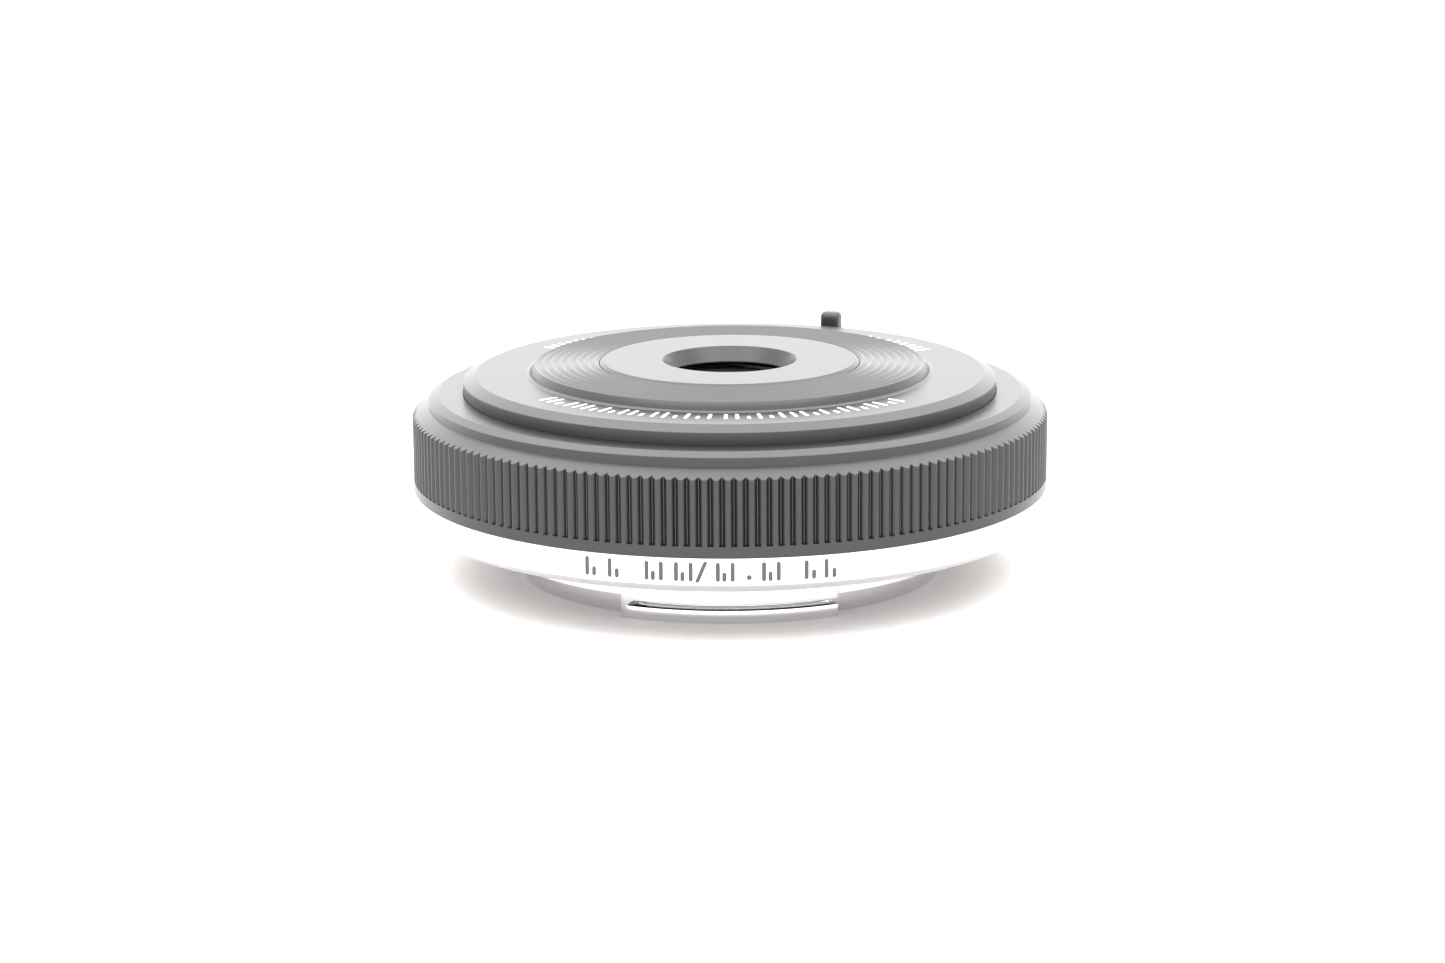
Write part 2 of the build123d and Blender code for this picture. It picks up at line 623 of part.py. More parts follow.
# ================================================================================
# Focus unit, which slides along the axis
# ================================================================================
with BuildPart() as focus_carrier:
    revolve(
        turned_section(
            (CARRIER_LIP_R, THIRD_SEAT_Z),
            (CARRIER_LIP_R, CARRIER_TOP_Z),
            (CARRIER_R, CARRIER_TOP_Z),
            (CARRIER_R, CARRIER_LOW_Z),
            (FIFTH_R + LENS_GAP, CARRIER_LOW_Z),
            (FIFTH_R + LENS_GAP, FIFTH_SEAT_Z),
            (FOURTH_R + LENS_GAP, FIFTH_SEAT_Z),
            (FOURTH_R + LENS_GAP, FOURTH_SEAT_Z),
            (THIRD_R + LENS_GAP, FOURTH_SEAT_Z),
            (THIRD_R + LENS_GAP, THIRD_SEAT_Z),
        ),
        axis=Axis.Z,
    )
    with BuildSketch(Plane.XY.offset(EAR_LOW_Z)):
        Rectangle(2 * ROD_CIRCLE_R, EAR_WIDTH)
        Circle(CARRIER_R - FIT, mode=Mode.SUBTRACT)
    extrude(amount=CARRIER_TOP_Z - EAR_LOW_Z)
    with BuildSketch(Plane.XY.offset(BUSH_LOW_Z)):
        with PolarLocations(ROD_CIRCLE_R, 2):
            Circle(BUSH_R)
    extrude(amount=CARRIER_TOP_Z - BUSH_LOW_Z)
    with BuildSketch(Plane.XY.offset(BUSH_LOW_Z)):
        with PolarLocations(ROD_CIRCLE_R, 2):
            Circle(ROD_R + BUSH_CLEARANCE)
    extrude(amount=CARRIER_TOP_Z - BUSH_LOW_Z, mode=Mode.SUBTRACT)
focus_carrier.part.label = "focus_carrier"

with BuildPart() as focus_coil:
    with BuildSketch(Plane.XY.offset(COIL_LOW_Z)):
        Circle(COIL_R)
        Circle(CARRIER_R + FIT, mode=Mode.SUBTRACT)
    extrude(amount=COIL_TOP_Z - COIL_LOW_Z)
focus_coil.part.label = "focus_coil"

with BuildPart() as third_element:
    revolve(lens_section(THIRD_R, THIRD_REAR_Z, THIRD_FRONT_Z, *THIRD_SAGS), axis=Axis.Z)
third_element.part.label = "third_element"

with BuildPart() as fourth_element:
    revolve(lens_section(FOURTH_R, FOURTH_REAR_Z, FOURTH_FRONT_Z, *FOURTH_SAGS), axis=Axis.Z)
fourth_element.part.label = "fourth_element"

with BuildPart() as fifth_element:
    revolve(lens_section(FIFTH_R, FIFTH_REAR_Z, FIFTH_FRONT_Z, *FIFTH_SAGS), axis=Axis.Z)
fifth_element.part.label = "fifth_element"

with BuildPart() as focus_retainer:
    with BuildSketch(Plane.XY.offset(CARRIER_LOW_Z + EDGE)):
        Circle(FIFTH_R)
        Circle(FIFTH_R - FOCUS_RETAINER_WIDTH, mode=Mode.SUBTRACT)
    extrude(amount=FOCUS_RETAINER_THICK)
focus_retainer.part.label = "focus_retainer"

with BuildPart() as scale_magnet:
    with BuildSketch(Plane.XY.offset(EAR_LOW_Z)):
        with Locations((SCALE_X, (EAR_WIDTH + SCALE_THICK) / 2)):
            Rectangle(SCALE_LENGTH, SCALE_THICK)
    extrude(amount=CARRIER_TOP_Z - EAR_LOW_Z)
scale_magnet.part.label = "scale_magnet"

SENSOR_Y = (EAR_WIDTH + SENSOR_THICK) / 2 + SCALE_THICK + SENSOR_GAP

with BuildPart() as position_sensor:
    with BuildSketch(Plane.XY.offset(SENSOR_LOW_Z)):
        with Locations((SENSOR_X, SENSOR_Y)):
            Rectangle(SENSOR_LENGTH, SENSOR_THICK)
    extrude(amount=SENSOR_HEIGHT)
position_sensor.part.label = "position_sensor"

with BuildPart() as focus_magnets:
    with BuildSketch(Plane.XY.offset(MAGNET_LOW_Z)):
        add(sector(MAGNET_IN_R, MAGNET_OUT_R, 90, MAGNET_SPAN))
        add(sector(MAGNET_IN_R, MAGNET_OUT_R, 270, MAGNET_SPAN))
    extrude(amount=MAGNET_TOP_Z - MAGNET_LOW_Z)
focus_magnets.part.label = "focus_magnets"

with BuildPart() as magnet_yokes:
    with BuildSketch(Plane.XY.offset(CHASSIS_FLOOR_Z)):
        add(sector(MAGNET_OUT_R + FIT, YOKE_OUT_R, 90, YOKE_SPAN))
        add(sector(MAGNET_OUT_R + FIT, YOKE_OUT_R, 270, YOKE_SPAN))
    extrude(amount=YOKE_TOP_Z - CHASSIS_FLOOR_Z)
magnet_yokes.part.label = "magnet_yokes"

# ================================================================================
# Front optics
# ================================================================================
with BuildPart() as front_cell:
    revolve(
        turned_section(
            (CELL_LIP_R, CELL_LOW_Z),
            (CELL_R, CELL_LOW_Z),
            (CELL_R, CELL_FLANGE_LOW_Z),
            (CELL_FLANGE_R, CELL_FLANGE_LOW_Z),
            (CELL_FLANGE_R, CELL_FLANGE_TOP_Z),
            (CELL_R, CELL_FLANGE_TOP_Z),
            (CELL_R, CELL_TOP_Z),
            (FIRST_SEAT_R, CELL_TOP_Z),
            (FIRST_SEAT_R, FIRST_SEAT_Z),
            (SECOND_SEAT_R, FIRST_SEAT_Z),
            (SECOND_SEAT_R, SECOND_SEAT_Z),
            (CELL_LIP_R, SECOND_SEAT_Z),
        ),
        axis=Axis.Z,
    )
front_cell.part.label = "front_cell"

with BuildPart() as aperture_plate:
    with BuildSketch(Plane.XY.offset(SECOND_SEAT_Z)):
        Circle(SECOND_SEAT_R - FIT)
        Circle(APERTURE_R, mode=Mode.SUBTRACT)
    extrude(amount=APERTURE_THICK)
aperture_plate.part.label = "aperture_plate"

with BuildPart() as second_element:
    revolve(lens_section(SECOND_R, SECOND_REAR_Z, SECOND_FRONT_Z, *SECOND_SAGS), axis=Axis.Z)
second_element.part.label = "second_element"

with BuildPart() as first_element:
    revolve(lens_section(FIRST_R, FIRST_REAR_Z, FIRST_FRONT_Z, *FIRST_SAGS), axis=Axis.Z)
first_element.part.label = "first_element"

with BuildPart() as front_retainer:
    revolve(
        turned_section(
            (FIRST_R - FRONT_RETAINER_WIDTH, FIRST_FRONT_Z - 3 * EDGE),
            (FIRST_R, FIRST_FRONT_Z - 4 * EDGE),
            (FIRST_R, CELL_TOP_Z - EDGE),
            (FIRST_R - FRONT_RETAINER_WIDTH + 2 * EDGE, CELL_TOP_Z - EDGE),
        ),
        axis=Axis.Z,
    )
    with BuildSketch(Plane.XY.offset(CELL_TOP_Z - 2 * EDGE)):
        with PolarLocations(FIRST_R, 2, start_angle=SPANNER_ANGLE):
            Rectangle(FRONT_RETAINER_WIDTH, SPANNER_SLOT)
    extrude(amount=EDGE, mode=Mode.SUBTRACT)
front_retainer.part.label = "front_retainer"

# ================================================================================
# Cover mechanism
# ================================================================================
with BuildPart() as mechanism_plate:
    revolve(
        turned_section(
            (COLLAR_BORE_R, MECHANISM_LOW_Z),
            (MECHANISM_R, MECHANISM_LOW_Z),
            (MECHANISM_R, MECHANISM_TOP_Z),
            (COLLAR_R, MECHANISM_TOP_Z),
            (COLLAR_R, COLLAR_TOP_Z),
            (COLLAR_BORE_R, COLLAR_TOP_Z),
        ),
        axis=Axis.Z,
    )
    with BuildSketch(Plane.XY.offset(PLATE_SCREW_HEAD_Z)):
        with PolarLocations(PLATE_SCREW_CIRCLE_R, PLATE_SCREW_COUNT, start_angle=PLATE_SCREW_ANGLE):
            Circle(PLATE_SCREW_HEAD_R + FIT)
    extrude(amount=MECHANISM_TOP_Z - PLATE_SCREW_HEAD_Z, mode=Mode.SUBTRACT)
    with BuildSketch(Plane.XY.offset(MECHANISM_LOW_Z)):
        with PolarLocations(PLATE_SCREW_CIRCLE_R, PLATE_SCREW_COUNT, start_angle=PLATE_SCREW_ANGLE):
            Circle(PLATE_SCREW_SHANK_R + FIT)
    extrude(amount=PLATE_SCREW_HEAD_Z - MECHANISM_LOW_Z, mode=Mode.SUBTRACT)
mechanism_plate.part.label = "mechanism_plate"

with BuildPart() as plate_screws:
    with BuildSketch(Plane.XY.offset(PLATE_SCREW_HEAD_Z + EDGE / 2)):
        with PolarLocations(PLATE_SCREW_CIRCLE_R, PLATE_SCREW_COUNT, start_angle=PLATE_SCREW_ANGLE):
            Circle(PLATE_SCREW_HEAD_R)
    extrude(amount=MECHANISM_TOP_Z - PLATE_SCREW_HEAD_Z - EDGE)
    with BuildSketch(Plane.XY.offset(PLATE_SCREW_LOW_Z + EDGE)):
        with PolarLocations(PLATE_SCREW_CIRCLE_R, PLATE_SCREW_COUNT, start_angle=PLATE_SCREW_ANGLE):
            Circle(PLATE_SCREW_SHANK_R)
    extrude(amount=PLATE_SCREW_HEAD_Z - PLATE_SCREW_LOW_Z - EDGE / 2)
plate_screws.part.label = "plate_screws"

DETENT_ANGLE = KNOB_ANGLE + LEVER_TRAVEL / 2
DETENT_MID_R = (DETENT_IN_R + DETENT_OUT_R) / 2

with BuildPart() as detent_leaf:
    with BuildSketch(polar_plane(DETENT_MID_R, DETENT_ANGLE, MECHANISM_TOP_Z)):
        RectangleRounded(DETENT_OUT_R - DETENT_IN_R, DETENT_WIDTH, DETENT_WIDTH / 4)
    extrude(amount=DETENT_THICK)
    with BuildSketch(polar_plane(DETENT_OUT_R - DETENT_WIDTH / 2, DETENT_ANGLE, MECHANISM_TOP_Z)):
        Circle(DETENT_WIDTH / 4)
    extrude(amount=DETENT_THICK + DETENT_BUMP_R / 2)
detent_leaf.part.label = "detent_leaf"


def blade_stud_point(pivot_angle, opening):
    """Return the stud's x and y; opening runs from 0, closed, to 1, open."""
    pivot_x, pivot_y = polar_point(BLADE_PIVOT_R, pivot_angle)
    stud_x, stud_y = polar_point(STUD_REACH, pivot_angle + STUD_ANGLE - opening * BLADE_SWING)
    return pivot_x + stud_x, pivot_y + stud_y


def cam_slot_point(pivot_angle, opening):
    """Return where the stud crosses the drive ring, in the ring's open position."""
    x, y = blade_stud_point(pivot_angle, opening)
    ring_turn = math.degrees(math.atan2(y, x)) - (1 - opening) * LEVER_TRAVEL
    return polar_point(math.hypot(x, y), ring_turn)


with BuildPart() as drive_ring:
    revolve(
        turned_section(
            (RING_BORE_R, RING_HUB_Z),
            (RING_HUB_R, RING_HUB_Z),
            (RING_HUB_R, RING_UNDER_Z),
            (RING_R, RING_UNDER_Z),
            (RING_R, RING_TOP_Z),
            (RING_BORE_R, RING_TOP_Z),
        ),
        axis=Axis.Z,
    )
    for pivot_angle in BLADE_PIVOT_ANGLES:
        with BuildSketch(Plane.XY.offset(RING_UNDER_Z)):
            with BuildLine(mode=Mode.PRIVATE) as cam_path:
                ThreePointArc(*[cam_slot_point(pivot_angle, opening) for opening in (0, 0.5, 1)])
            SlotArc(cam_path.edge(), 2 * (STUD_R + STUD_CLEARANCE))
    extrude(amount=RING_TOP_Z - RING_UNDER_Z, mode=Mode.SUBTRACT)
    with BuildSketch(polar_plane(ARM_SCREW_CIRCLE_R, KNOB_ANGLE, ARM_SCREW_HEAD_Z)):
        with GridLocations(1, 2 * ARM_SCREW_OFFSET, 1, 2):
            Circle(ARM_SCREW_HEAD_R + FIT)
    extrude(amount=RING_TOP_Z - ARM_SCREW_HEAD_Z, mode=Mode.SUBTRACT)
    with BuildSketch(polar_plane(ARM_SCREW_CIRCLE_R, KNOB_ANGLE, RING_UNDER_Z)):
        with GridLocations(1, 2 * ARM_SCREW_OFFSET, 1, 2):
            Circle(ARM_SCREW_SHANK_R + FIT)
    extrude(amount=ARM_SCREW_HEAD_Z - RING_UNDER_Z, mode=Mode.SUBTRACT)
drive_ring.part.label = "drive_ring"

with BuildPart() as lever_arm:
    with BuildSketch(polar_plane((ARM_POST_IN_R + SHIELD_OUT_R) / 2, KNOB_ANGLE, ARM_LOW_Z)):
        Rectangle(SHIELD_OUT_R - ARM_POST_IN_R - 2 * EDGE, ARM_WIDTH)
    extrude(amount=ARM_THICK)
    with BuildSketch(Plane.XY.offset(ARM_LOW_Z)):
        add(sector(SHIELD_IN_R, SHIELD_OUT_R, KNOB_ANGLE, SHIELD_SPAN))
    extrude(amount=ARM_THICK)
    with BuildSketch(polar_plane((ARM_POST_IN_R + ARM_POST_OUT_R) / 2, KNOB_ANGLE, ARM_LOW_Z)):
        Rectangle(ARM_POST_OUT_R - ARM_POST_IN_R, ARM_WIDTH)
    extrude(amount=RING_UNDER_Z - ARM_LOW_Z)
    with BuildSketch(polar_plane(ARM_SCREW_CIRCLE_R, KNOB_ANGLE, ARM_SCREW_LOW_Z)):
        with GridLocations(1, 2 * ARM_SCREW_OFFSET, 1, 2):
            Circle(ARM_SCREW_SHANK_R + FIT)
    extrude(amount=RING_UNDER_Z - ARM_SCREW_LOW_Z, mode=Mode.SUBTRACT)
lever_arm.part.label = "lever_arm"

with BuildPart() as arm_screws:
    with BuildSketch(polar_plane(ARM_SCREW_CIRCLE_R, KNOB_ANGLE, ARM_SCREW_HEAD_Z + FIT)):
        with GridLocations(1, 2 * ARM_SCREW_OFFSET, 1, 2):
            Circle(ARM_SCREW_HEAD_R)
    extrude(amount=RING_TOP_Z - ARM_SCREW_HEAD_Z - 2 * FIT)
    with BuildSketch(polar_plane(ARM_SCREW_CIRCLE_R, KNOB_ANGLE, ARM_SCREW_LOW_Z + FIT)):
        with GridLocations(1, 2 * ARM_SCREW_OFFSET, 1, 2):
            Circle(ARM_SCREW_SHANK_R)
    extrude(amount=ARM_SCREW_HEAD_Z - ARM_SCREW_LOW_Z)
arm_screws.part.label = "arm_screws"

with BuildPart() as lever_knob:
    with BuildSketch(polar_plane(KNOB_CIRCLE_R, KNOB_ANGLE, ARM_LOW_Z + ARM_THICK)):
        RectangleRounded(STEM_RADIAL, KNOB_WIDTH, STEM_RADIAL / 4)
    extrude(amount=KNOB_FOOT_LOW_Z - ARM_LOW_Z - ARM_THICK)
    with BuildSketch(polar_plane(KNOB_CIRCLE_R, KNOB_ANGLE, KNOB_FOOT_LOW_Z)):
        RectangleRounded(KNOB_FOOT_RADIAL, KNOB_FOOT_WIDTH, KNOB_RADIAL / 3)
    with BuildSketch(polar_plane(KNOB_CIRCLE_R, KNOB_ANGLE, KNOB_FOOT_TOP_Z)):
        RectangleRounded(KNOB_RADIAL, KNOB_WIDTH, KNOB_RADIAL / 3)
    loft()
    with BuildSketch(polar_plane(KNOB_CIRCLE_R, KNOB_ANGLE, KNOB_FOOT_TOP_Z)):
        RectangleRounded(KNOB_RADIAL, KNOB_WIDTH, KNOB_RADIAL / 3)
    extrude(amount=KNOB_TOP_Z - KNOB_FOOT_TOP_Z)
    fillet(lever_knob.faces().sort_by(Axis.Z)[-1].edges(), radius=KNOB_ROUND)
lever_knob.part.label = "lever_knob"


def blade_sketch():
    """Return a cover blade with its pivot at the origin and the optical axis along -X."""
    stud = polar_point(STUD_REACH, STUD_ANGLE)
    shoulder = polar_point(BLADE_R, BLADE_SHOULDER_ANGLE)
    with BuildSketch() as flat:
        with Locations((-BLADE_PIVOT_R, 0)):
            Circle(BLADE_R)
        with Locations((-BLADE_PIVOT_R, -BLADE_OVERLAP - BLADE_R / 2)):
            Rectangle(2 * BLADE_R, BLADE_R, mode=Mode.SUBTRACT)
        Polygon(
            (-BLADE_PIVOT_R, -BLADE_OVERLAP),
            (0, -BLADE_OVERLAP),
            (0, BLADE_BOSS_R),
            (shoulder[0] - BLADE_PIVOT_R, shoulder[1]),
            align=None,
        )
        Circle(BLADE_BOSS_R)
        with Locations((stud[0] / 2, stud[1] / 2)):
            SlotCenterToCenter(STUD_REACH, BLADE_TAIL_WIDTH, rotation=STUD_ANGLE)
        Circle(PIVOT_PIN_R + FIT, mode=Mode.SUBTRACT)
        with Locations(stud):
            Circle(STUD_R + FIT / 2, mode=Mode.SUBTRACT)
    return flat.sketch


def blade_plane(pivot_angle, height):
    """Return the level plane of one blade at its pivot, turned to the open position."""
    x, y = polar_point(BLADE_PIVOT_R, pivot_angle)
    outward = (*polar_point(1, pivot_angle - BLADE_SWING), 0)
    return Plane(origin=(x, y, height), x_dir=outward, z_dir=(0, 0, 1))


with BuildPart() as lower_blade:
    with BuildSketch(blade_plane(BLADE_PIVOT_ANGLES[0], LOWER_BLADE_Z)):
        add(blade_sketch())
    extrude(amount=BLADE_THICK)
lower_blade.part.label = "lower_blade"

with BuildPart() as lower_blade_stud:
    with BuildSketch(Plane.XY.offset(STUD_LOW_Z)):
        with Locations(blade_stud_point(BLADE_PIVOT_ANGLES[0], 1)):
            Circle(STUD_R)
    extrude(amount=LOWER_BLADE_Z + BLADE_THICK - STUD_LOW_Z)
lower_blade_stud.part.label = "lower_blade_stud"

with BuildPart() as upper_blade:
    with BuildSketch(blade_plane(BLADE_PIVOT_ANGLES[1], UPPER_BLADE_Z)):
        add(blade_sketch())
    extrude(amount=BLADE_THICK)
upper_blade.part.label = "upper_blade"

with BuildPart() as upper_blade_stud:
    with BuildSketch(Plane.XY.offset(STUD_LOW_Z)):
        with Locations(blade_stud_point(BLADE_PIVOT_ANGLES[1], 1)):
            Circle(STUD_R)
    extrude(amount=UPPER_BLADE_Z + BLADE_THICK - STUD_LOW_Z)
upper_blade_stud.part.label = "upper_blade_stud"

with BuildPart() as blade_pivots:
    with BuildSketch(Plane.XY.offset(PIVOT_PIN_LOW_Z)):
        with PolarLocations(BLADE_PIVOT_R, 2):
            Circle(PIVOT_PIN_R)
    extrude(amount=DISC_SEAT_Z - PIVOT_PIN_LOW_Z - EDGE)
blade_pivots.part.label = "blade_pivots"

# ================================================================================
# Housing and front
# ================================================================================
with BuildPart() as silver_band:
    revolve(
        turned_section(
            (FLANGE_R + FIT, BAND_LOW_Z),
            (BAND_LOW_R, BAND_LOW_Z),
            (BAND_R, BAND_CHAMFER_Z),
            (BAND_R, BAND_TOP_Z - EDGE),
            (BAND_R - EDGE, BAND_TOP_Z),
            (SPIGOT_R, BAND_TOP_Z),
            (SPIGOT_R, SPIGOT_TOP_Z),
            (SPIGOT_BORE_R, SPIGOT_TOP_Z),
            (SPIGOT_BORE_R, FLANGE_TOP_Z + FIT),
            (FLANGE_R + FIT, FLANGE_TOP_Z + FIT),
        ),
        axis=Axis.Z,
    )
    DOT_FACE = Plane(origin=(*polar_point(BAND_R, DOT_ANGLE), DOT_Z), z_dir=(*polar_point(-1, DOT_ANGLE), 0))
    with BuildSketch(DOT_FACE):
        Circle(DOT_R)
    extrude(amount=DOT_DEPTH, mode=Mode.SUBTRACT)
silver_band.part.label = "silver_band"

with BuildPart() as index_dot:
    with BuildSketch(DOT_FACE.offset(EDGE)):
        Circle(DOT_R - FIT)
    extrude(amount=DOT_DEPTH - EDGE)
index_dot.part.label = "index_dot"

with BuildPart() as grip_ring:
    revolve(
        turned_section(
            (GRIP_BORE_R, GRIP_LOW_Z),
            (BODY_R - EDGE, GRIP_LOW_Z),
            (BODY_R, GRIP_LOW_Z + EDGE),
            (BODY_R, SHOULDER_LOW_Z),
            (RIM_R, SHOULDER_TOP_Z),
            (RIM_R, RIM_CHAMFER_Z),
            (LEDGE_R, LEDGE_Z),
            (PLATE_R + FIT, LEDGE_Z),
            (PLATE_R + FIT, PLATE_FOOT_Z),
            (PLATE_WALL_BORE_R, PLATE_FOOT_Z),
            (PLATE_WALL_BORE_R, LEDGE_UNDER_Z),
            (GRIP_BORE_R, LEDGE_UNDER_Z),
        ),
        axis=Axis.Z,
    )
    with BuildSketch(Plane.XY.offset(LEDGE_UNDER_Z)):
        add(sector(
            KNOB_CIRCLE_R - SLOT_WIDTH / 2,
            KNOB_CIRCLE_R + SLOT_WIDTH / 2,
            KNOB_ANGLE + LEVER_TRAVEL / 2,
            LEVER_TRAVEL + math.degrees(KNOB_WIDTH / KNOB_CIRCLE_R) + 2 * SLOT_END_GAP,
        ))
    extrude(amount=LEDGE_Z - LEDGE_UNDER_Z, mode=Mode.SUBTRACT)
    with BuildSketch(Plane.XY.offset(RIB_LOW_Z)):
        with PolarLocations(BODY_R, RIB_COUNT, start_angle=RIB_START_ANGLE):
            Polygon(
                (-RIB_GROOVE_DEPTH, 0),
                (RIB_GROOVE_DEPTH, RIB_GROOVE_WIDTH),
                (RIB_GROOVE_DEPTH, -RIB_GROOVE_WIDTH),
                align=None,
            )
    extrude(amount=SHOULDER_TOP_Z - RIB_LOW_Z, mode=Mode.SUBTRACT)
grip_ring.part.label = "grip_ring"

with BuildPart() as front_plate:
    revolve(
        turned_section(
            (GROOVED_FOOT_R + FIT, PLATE_UNDER_Z),
            (GROOVED_FOOT_R + FIT, PLATE_LIP_Z),
            (PLATE_LIP_R, PLATE_Z),
            (PLATE_FLAT_R, PLATE_Z),
            (PLATE_R, PLATE_CHAMFER_Z),
            (PLATE_R, PLATE_FOOT_Z),
            (PLATE_WALL_BORE_R, PLATE_FOOT_Z),
            (PLATE_WALL_BORE_R, PLATE_UNDER_Z),
        ),
        axis=Axis.Z,
    )
front_plate.part.label = "front_plate"

with BuildPart() as grooved_ring:
    revolve(
        turned_section(
            (DISC_SEAT_R + FIT, CHAMBER_Z),
            (DISC_SEAT_R + FIT, DISC_SEAT_Z),
            (GROOVED_BORE_R, DISC_SEAT_Z),
            (GROOVED_BORE_R, GROOVED_INNER_Z - GROOVE_DEPTH),
            (GROOVE_CREST_R, GROOVED_INNER_Z),
            (GROOVED_R, GROOVED_Z),
            (GROOVED_FOOT_R, GROOVED_FOOT_Z),
            (GROOVED_FOOT_R, PLATE_UNDER_Z),
            (GROOVED_FLANGE_R, PLATE_UNDER_Z),
            (GROOVED_FLANGE_R, GROOVED_FLANGE_Z),
            (GROOVED_SKIRT_R, GROOVED_FLANGE_Z),
            (GROOVED_SKIRT_R, GROOVED_SKIRT_Z),
            (GROOVED_SKIRT_BORE_R, GROOVED_SKIRT_Z),
            (GROOVED_SKIRT_BORE_R, CHAMBER_Z),
        ),
        axis=Axis.Z,
    )
    for groove in range(GROOVE_COUNT):
        groove_r = GROOVED_R - (groove + 0.5) * GROOVE_PITCH
        face_z = GROOVED_Z + (GROOVED_R - groove_r) * GROOVE_FACE_SLOPE
        revolve(
            turned_section(
                (groove_r - GROOVE_CUTTER_HALF, face_z + EDGE),
                (groove_r, face_z - GROOVE_DEPTH),
                (groove_r + GROOVE_CUTTER_HALF, face_z + EDGE),
            ),
            axis=Axis.Z,
            mode=Mode.SUBTRACT,
        )
    with BuildSketch(Plane.XY.offset(CHAMBER_Z)):
        with PolarLocations(BLADE_PIVOT_R, 2):
            Circle(PIVOT_PIN_R + FIT / 2)
    extrude(amount=DISC_SEAT_Z - CHAMBER_Z - EDGE / 2, mode=Mode.SUBTRACT)
grooved_ring.part.label = "grooved_ring"

with BuildPart() as centre_disc:
    revolve(
        turned_section(
            (WINDOW_R, CHAMBER_Z),
            (WINDOW_R, CHAMBER_Z + EDGE),
            (WINDOW_MOUTH_R, FRONT_Z),
            (DISC_FLAT_R, FRONT_Z),
            (DISC_R, DISC_CHAMFER_Z),
            (DISC_R, DISC_SEAT_Z),
            (DISC_SEAT_R, DISC_SEAT_Z),
            (DISC_SEAT_R, CHAMBER_Z),
        ),
        axis=Axis.Z,
    )
centre_disc.part.label = "centre_disc"

PIECES = (
    mount_ring, mount_screws, mount_shim, rear_baffle, baffle_screws, contact_block, contact_pins,
    chassis, guide_rods, main_board, board_chips, flex_cable, rear_cell, rear_element, rear_retainer,
    focus_carrier, focus_coil, third_element, fourth_element, fifth_element, focus_retainer,
    scale_magnet, position_sensor, focus_magnets, magnet_yokes, front_cell, aperture_plate,
    second_element, first_element, front_retainer, mechanism_plate, plate_screws, detent_leaf,
    drive_ring, lever_arm, arm_screws, lever_knob, lower_blade, lower_blade_stud, upper_blade,
    upper_blade_stud, blade_pivots, silver_band, index_dot, grip_ring, front_plate, grooved_ring,
    centre_disc,
)
os.makedirs("parts", exist_ok=True)
for piece in PIECES:
    export_step(piece.part, f"parts/{piece.part.label}.step")
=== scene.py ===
"""Slim autofocus lens with a built-in cover: its surfaces, its finishes and a small studio.

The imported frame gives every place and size. Lengths in the outline tables are millimetres,
as (radius, height) from the optical axis and from the rear end of the bayonet claws.
"""
import json
import math

import bmesh
import bpy
import numpy as np
from bpy.props import FloatProperty, FloatVectorProperty, IntProperty, PointerProperty
from mathutils import Matrix, Vector


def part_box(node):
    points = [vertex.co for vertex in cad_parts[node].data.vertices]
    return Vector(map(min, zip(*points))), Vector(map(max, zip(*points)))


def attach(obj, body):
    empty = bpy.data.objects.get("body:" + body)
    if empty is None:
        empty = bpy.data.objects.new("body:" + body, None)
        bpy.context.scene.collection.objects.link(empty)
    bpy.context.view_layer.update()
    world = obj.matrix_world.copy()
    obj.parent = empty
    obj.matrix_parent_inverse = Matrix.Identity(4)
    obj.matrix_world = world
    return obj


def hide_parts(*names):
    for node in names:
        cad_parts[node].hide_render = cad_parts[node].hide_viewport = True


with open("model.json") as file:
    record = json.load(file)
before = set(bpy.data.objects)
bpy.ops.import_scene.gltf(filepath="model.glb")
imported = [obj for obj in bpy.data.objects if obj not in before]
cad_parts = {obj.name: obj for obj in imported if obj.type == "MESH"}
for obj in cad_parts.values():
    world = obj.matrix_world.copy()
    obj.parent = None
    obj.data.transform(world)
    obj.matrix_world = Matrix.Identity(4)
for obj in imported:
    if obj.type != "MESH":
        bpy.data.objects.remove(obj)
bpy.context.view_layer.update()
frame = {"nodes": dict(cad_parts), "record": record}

bl_info = {
    "name": "Slim Lens Finish",
    "version": (1, 0, 0),
    "blender": (4, 5, 0),
    "location": "3D View > Sidebar > Slim Lens",
    "description": "Builds the visible surfaces, finishes and studio of a slim lens around its frame",
    "category": "Object",
}

MM = 0.001
TAU = 2 * math.pi
HOUSING = "housing"
LEVER = "cover_lever"
COLUMNS = 720             # divisions round a turned piece
ARC_STEPS = 5             # divisions of a rounded corner
SHARP_ANGLE = 35.0        # degrees; a steeper fold between faces stays a crisp edge
KEPT_SHARP_ANGLE = 30.0   # the same for pieces that keep their frame shape


# ---- What a user would change ----
def distance(name, description, default):
    """Return a length property in metres."""
    return FloatProperty(name=name, description=description, default=default, min=0.0,
                         subtype="DISTANCE", unit="LENGTH", precision=5)


def tint(name, description, default):
    """Return a colour property."""
    return FloatVectorProperty(name=name, description=description, default=default, size=3,
                               min=0.0, max=1.0, subtype="COLOR")


def share(name, description, default, top=1.0):
    """Return a plain number property."""
    return FloatProperty(name=name, description=description, default=default, min=0.0, max=top)


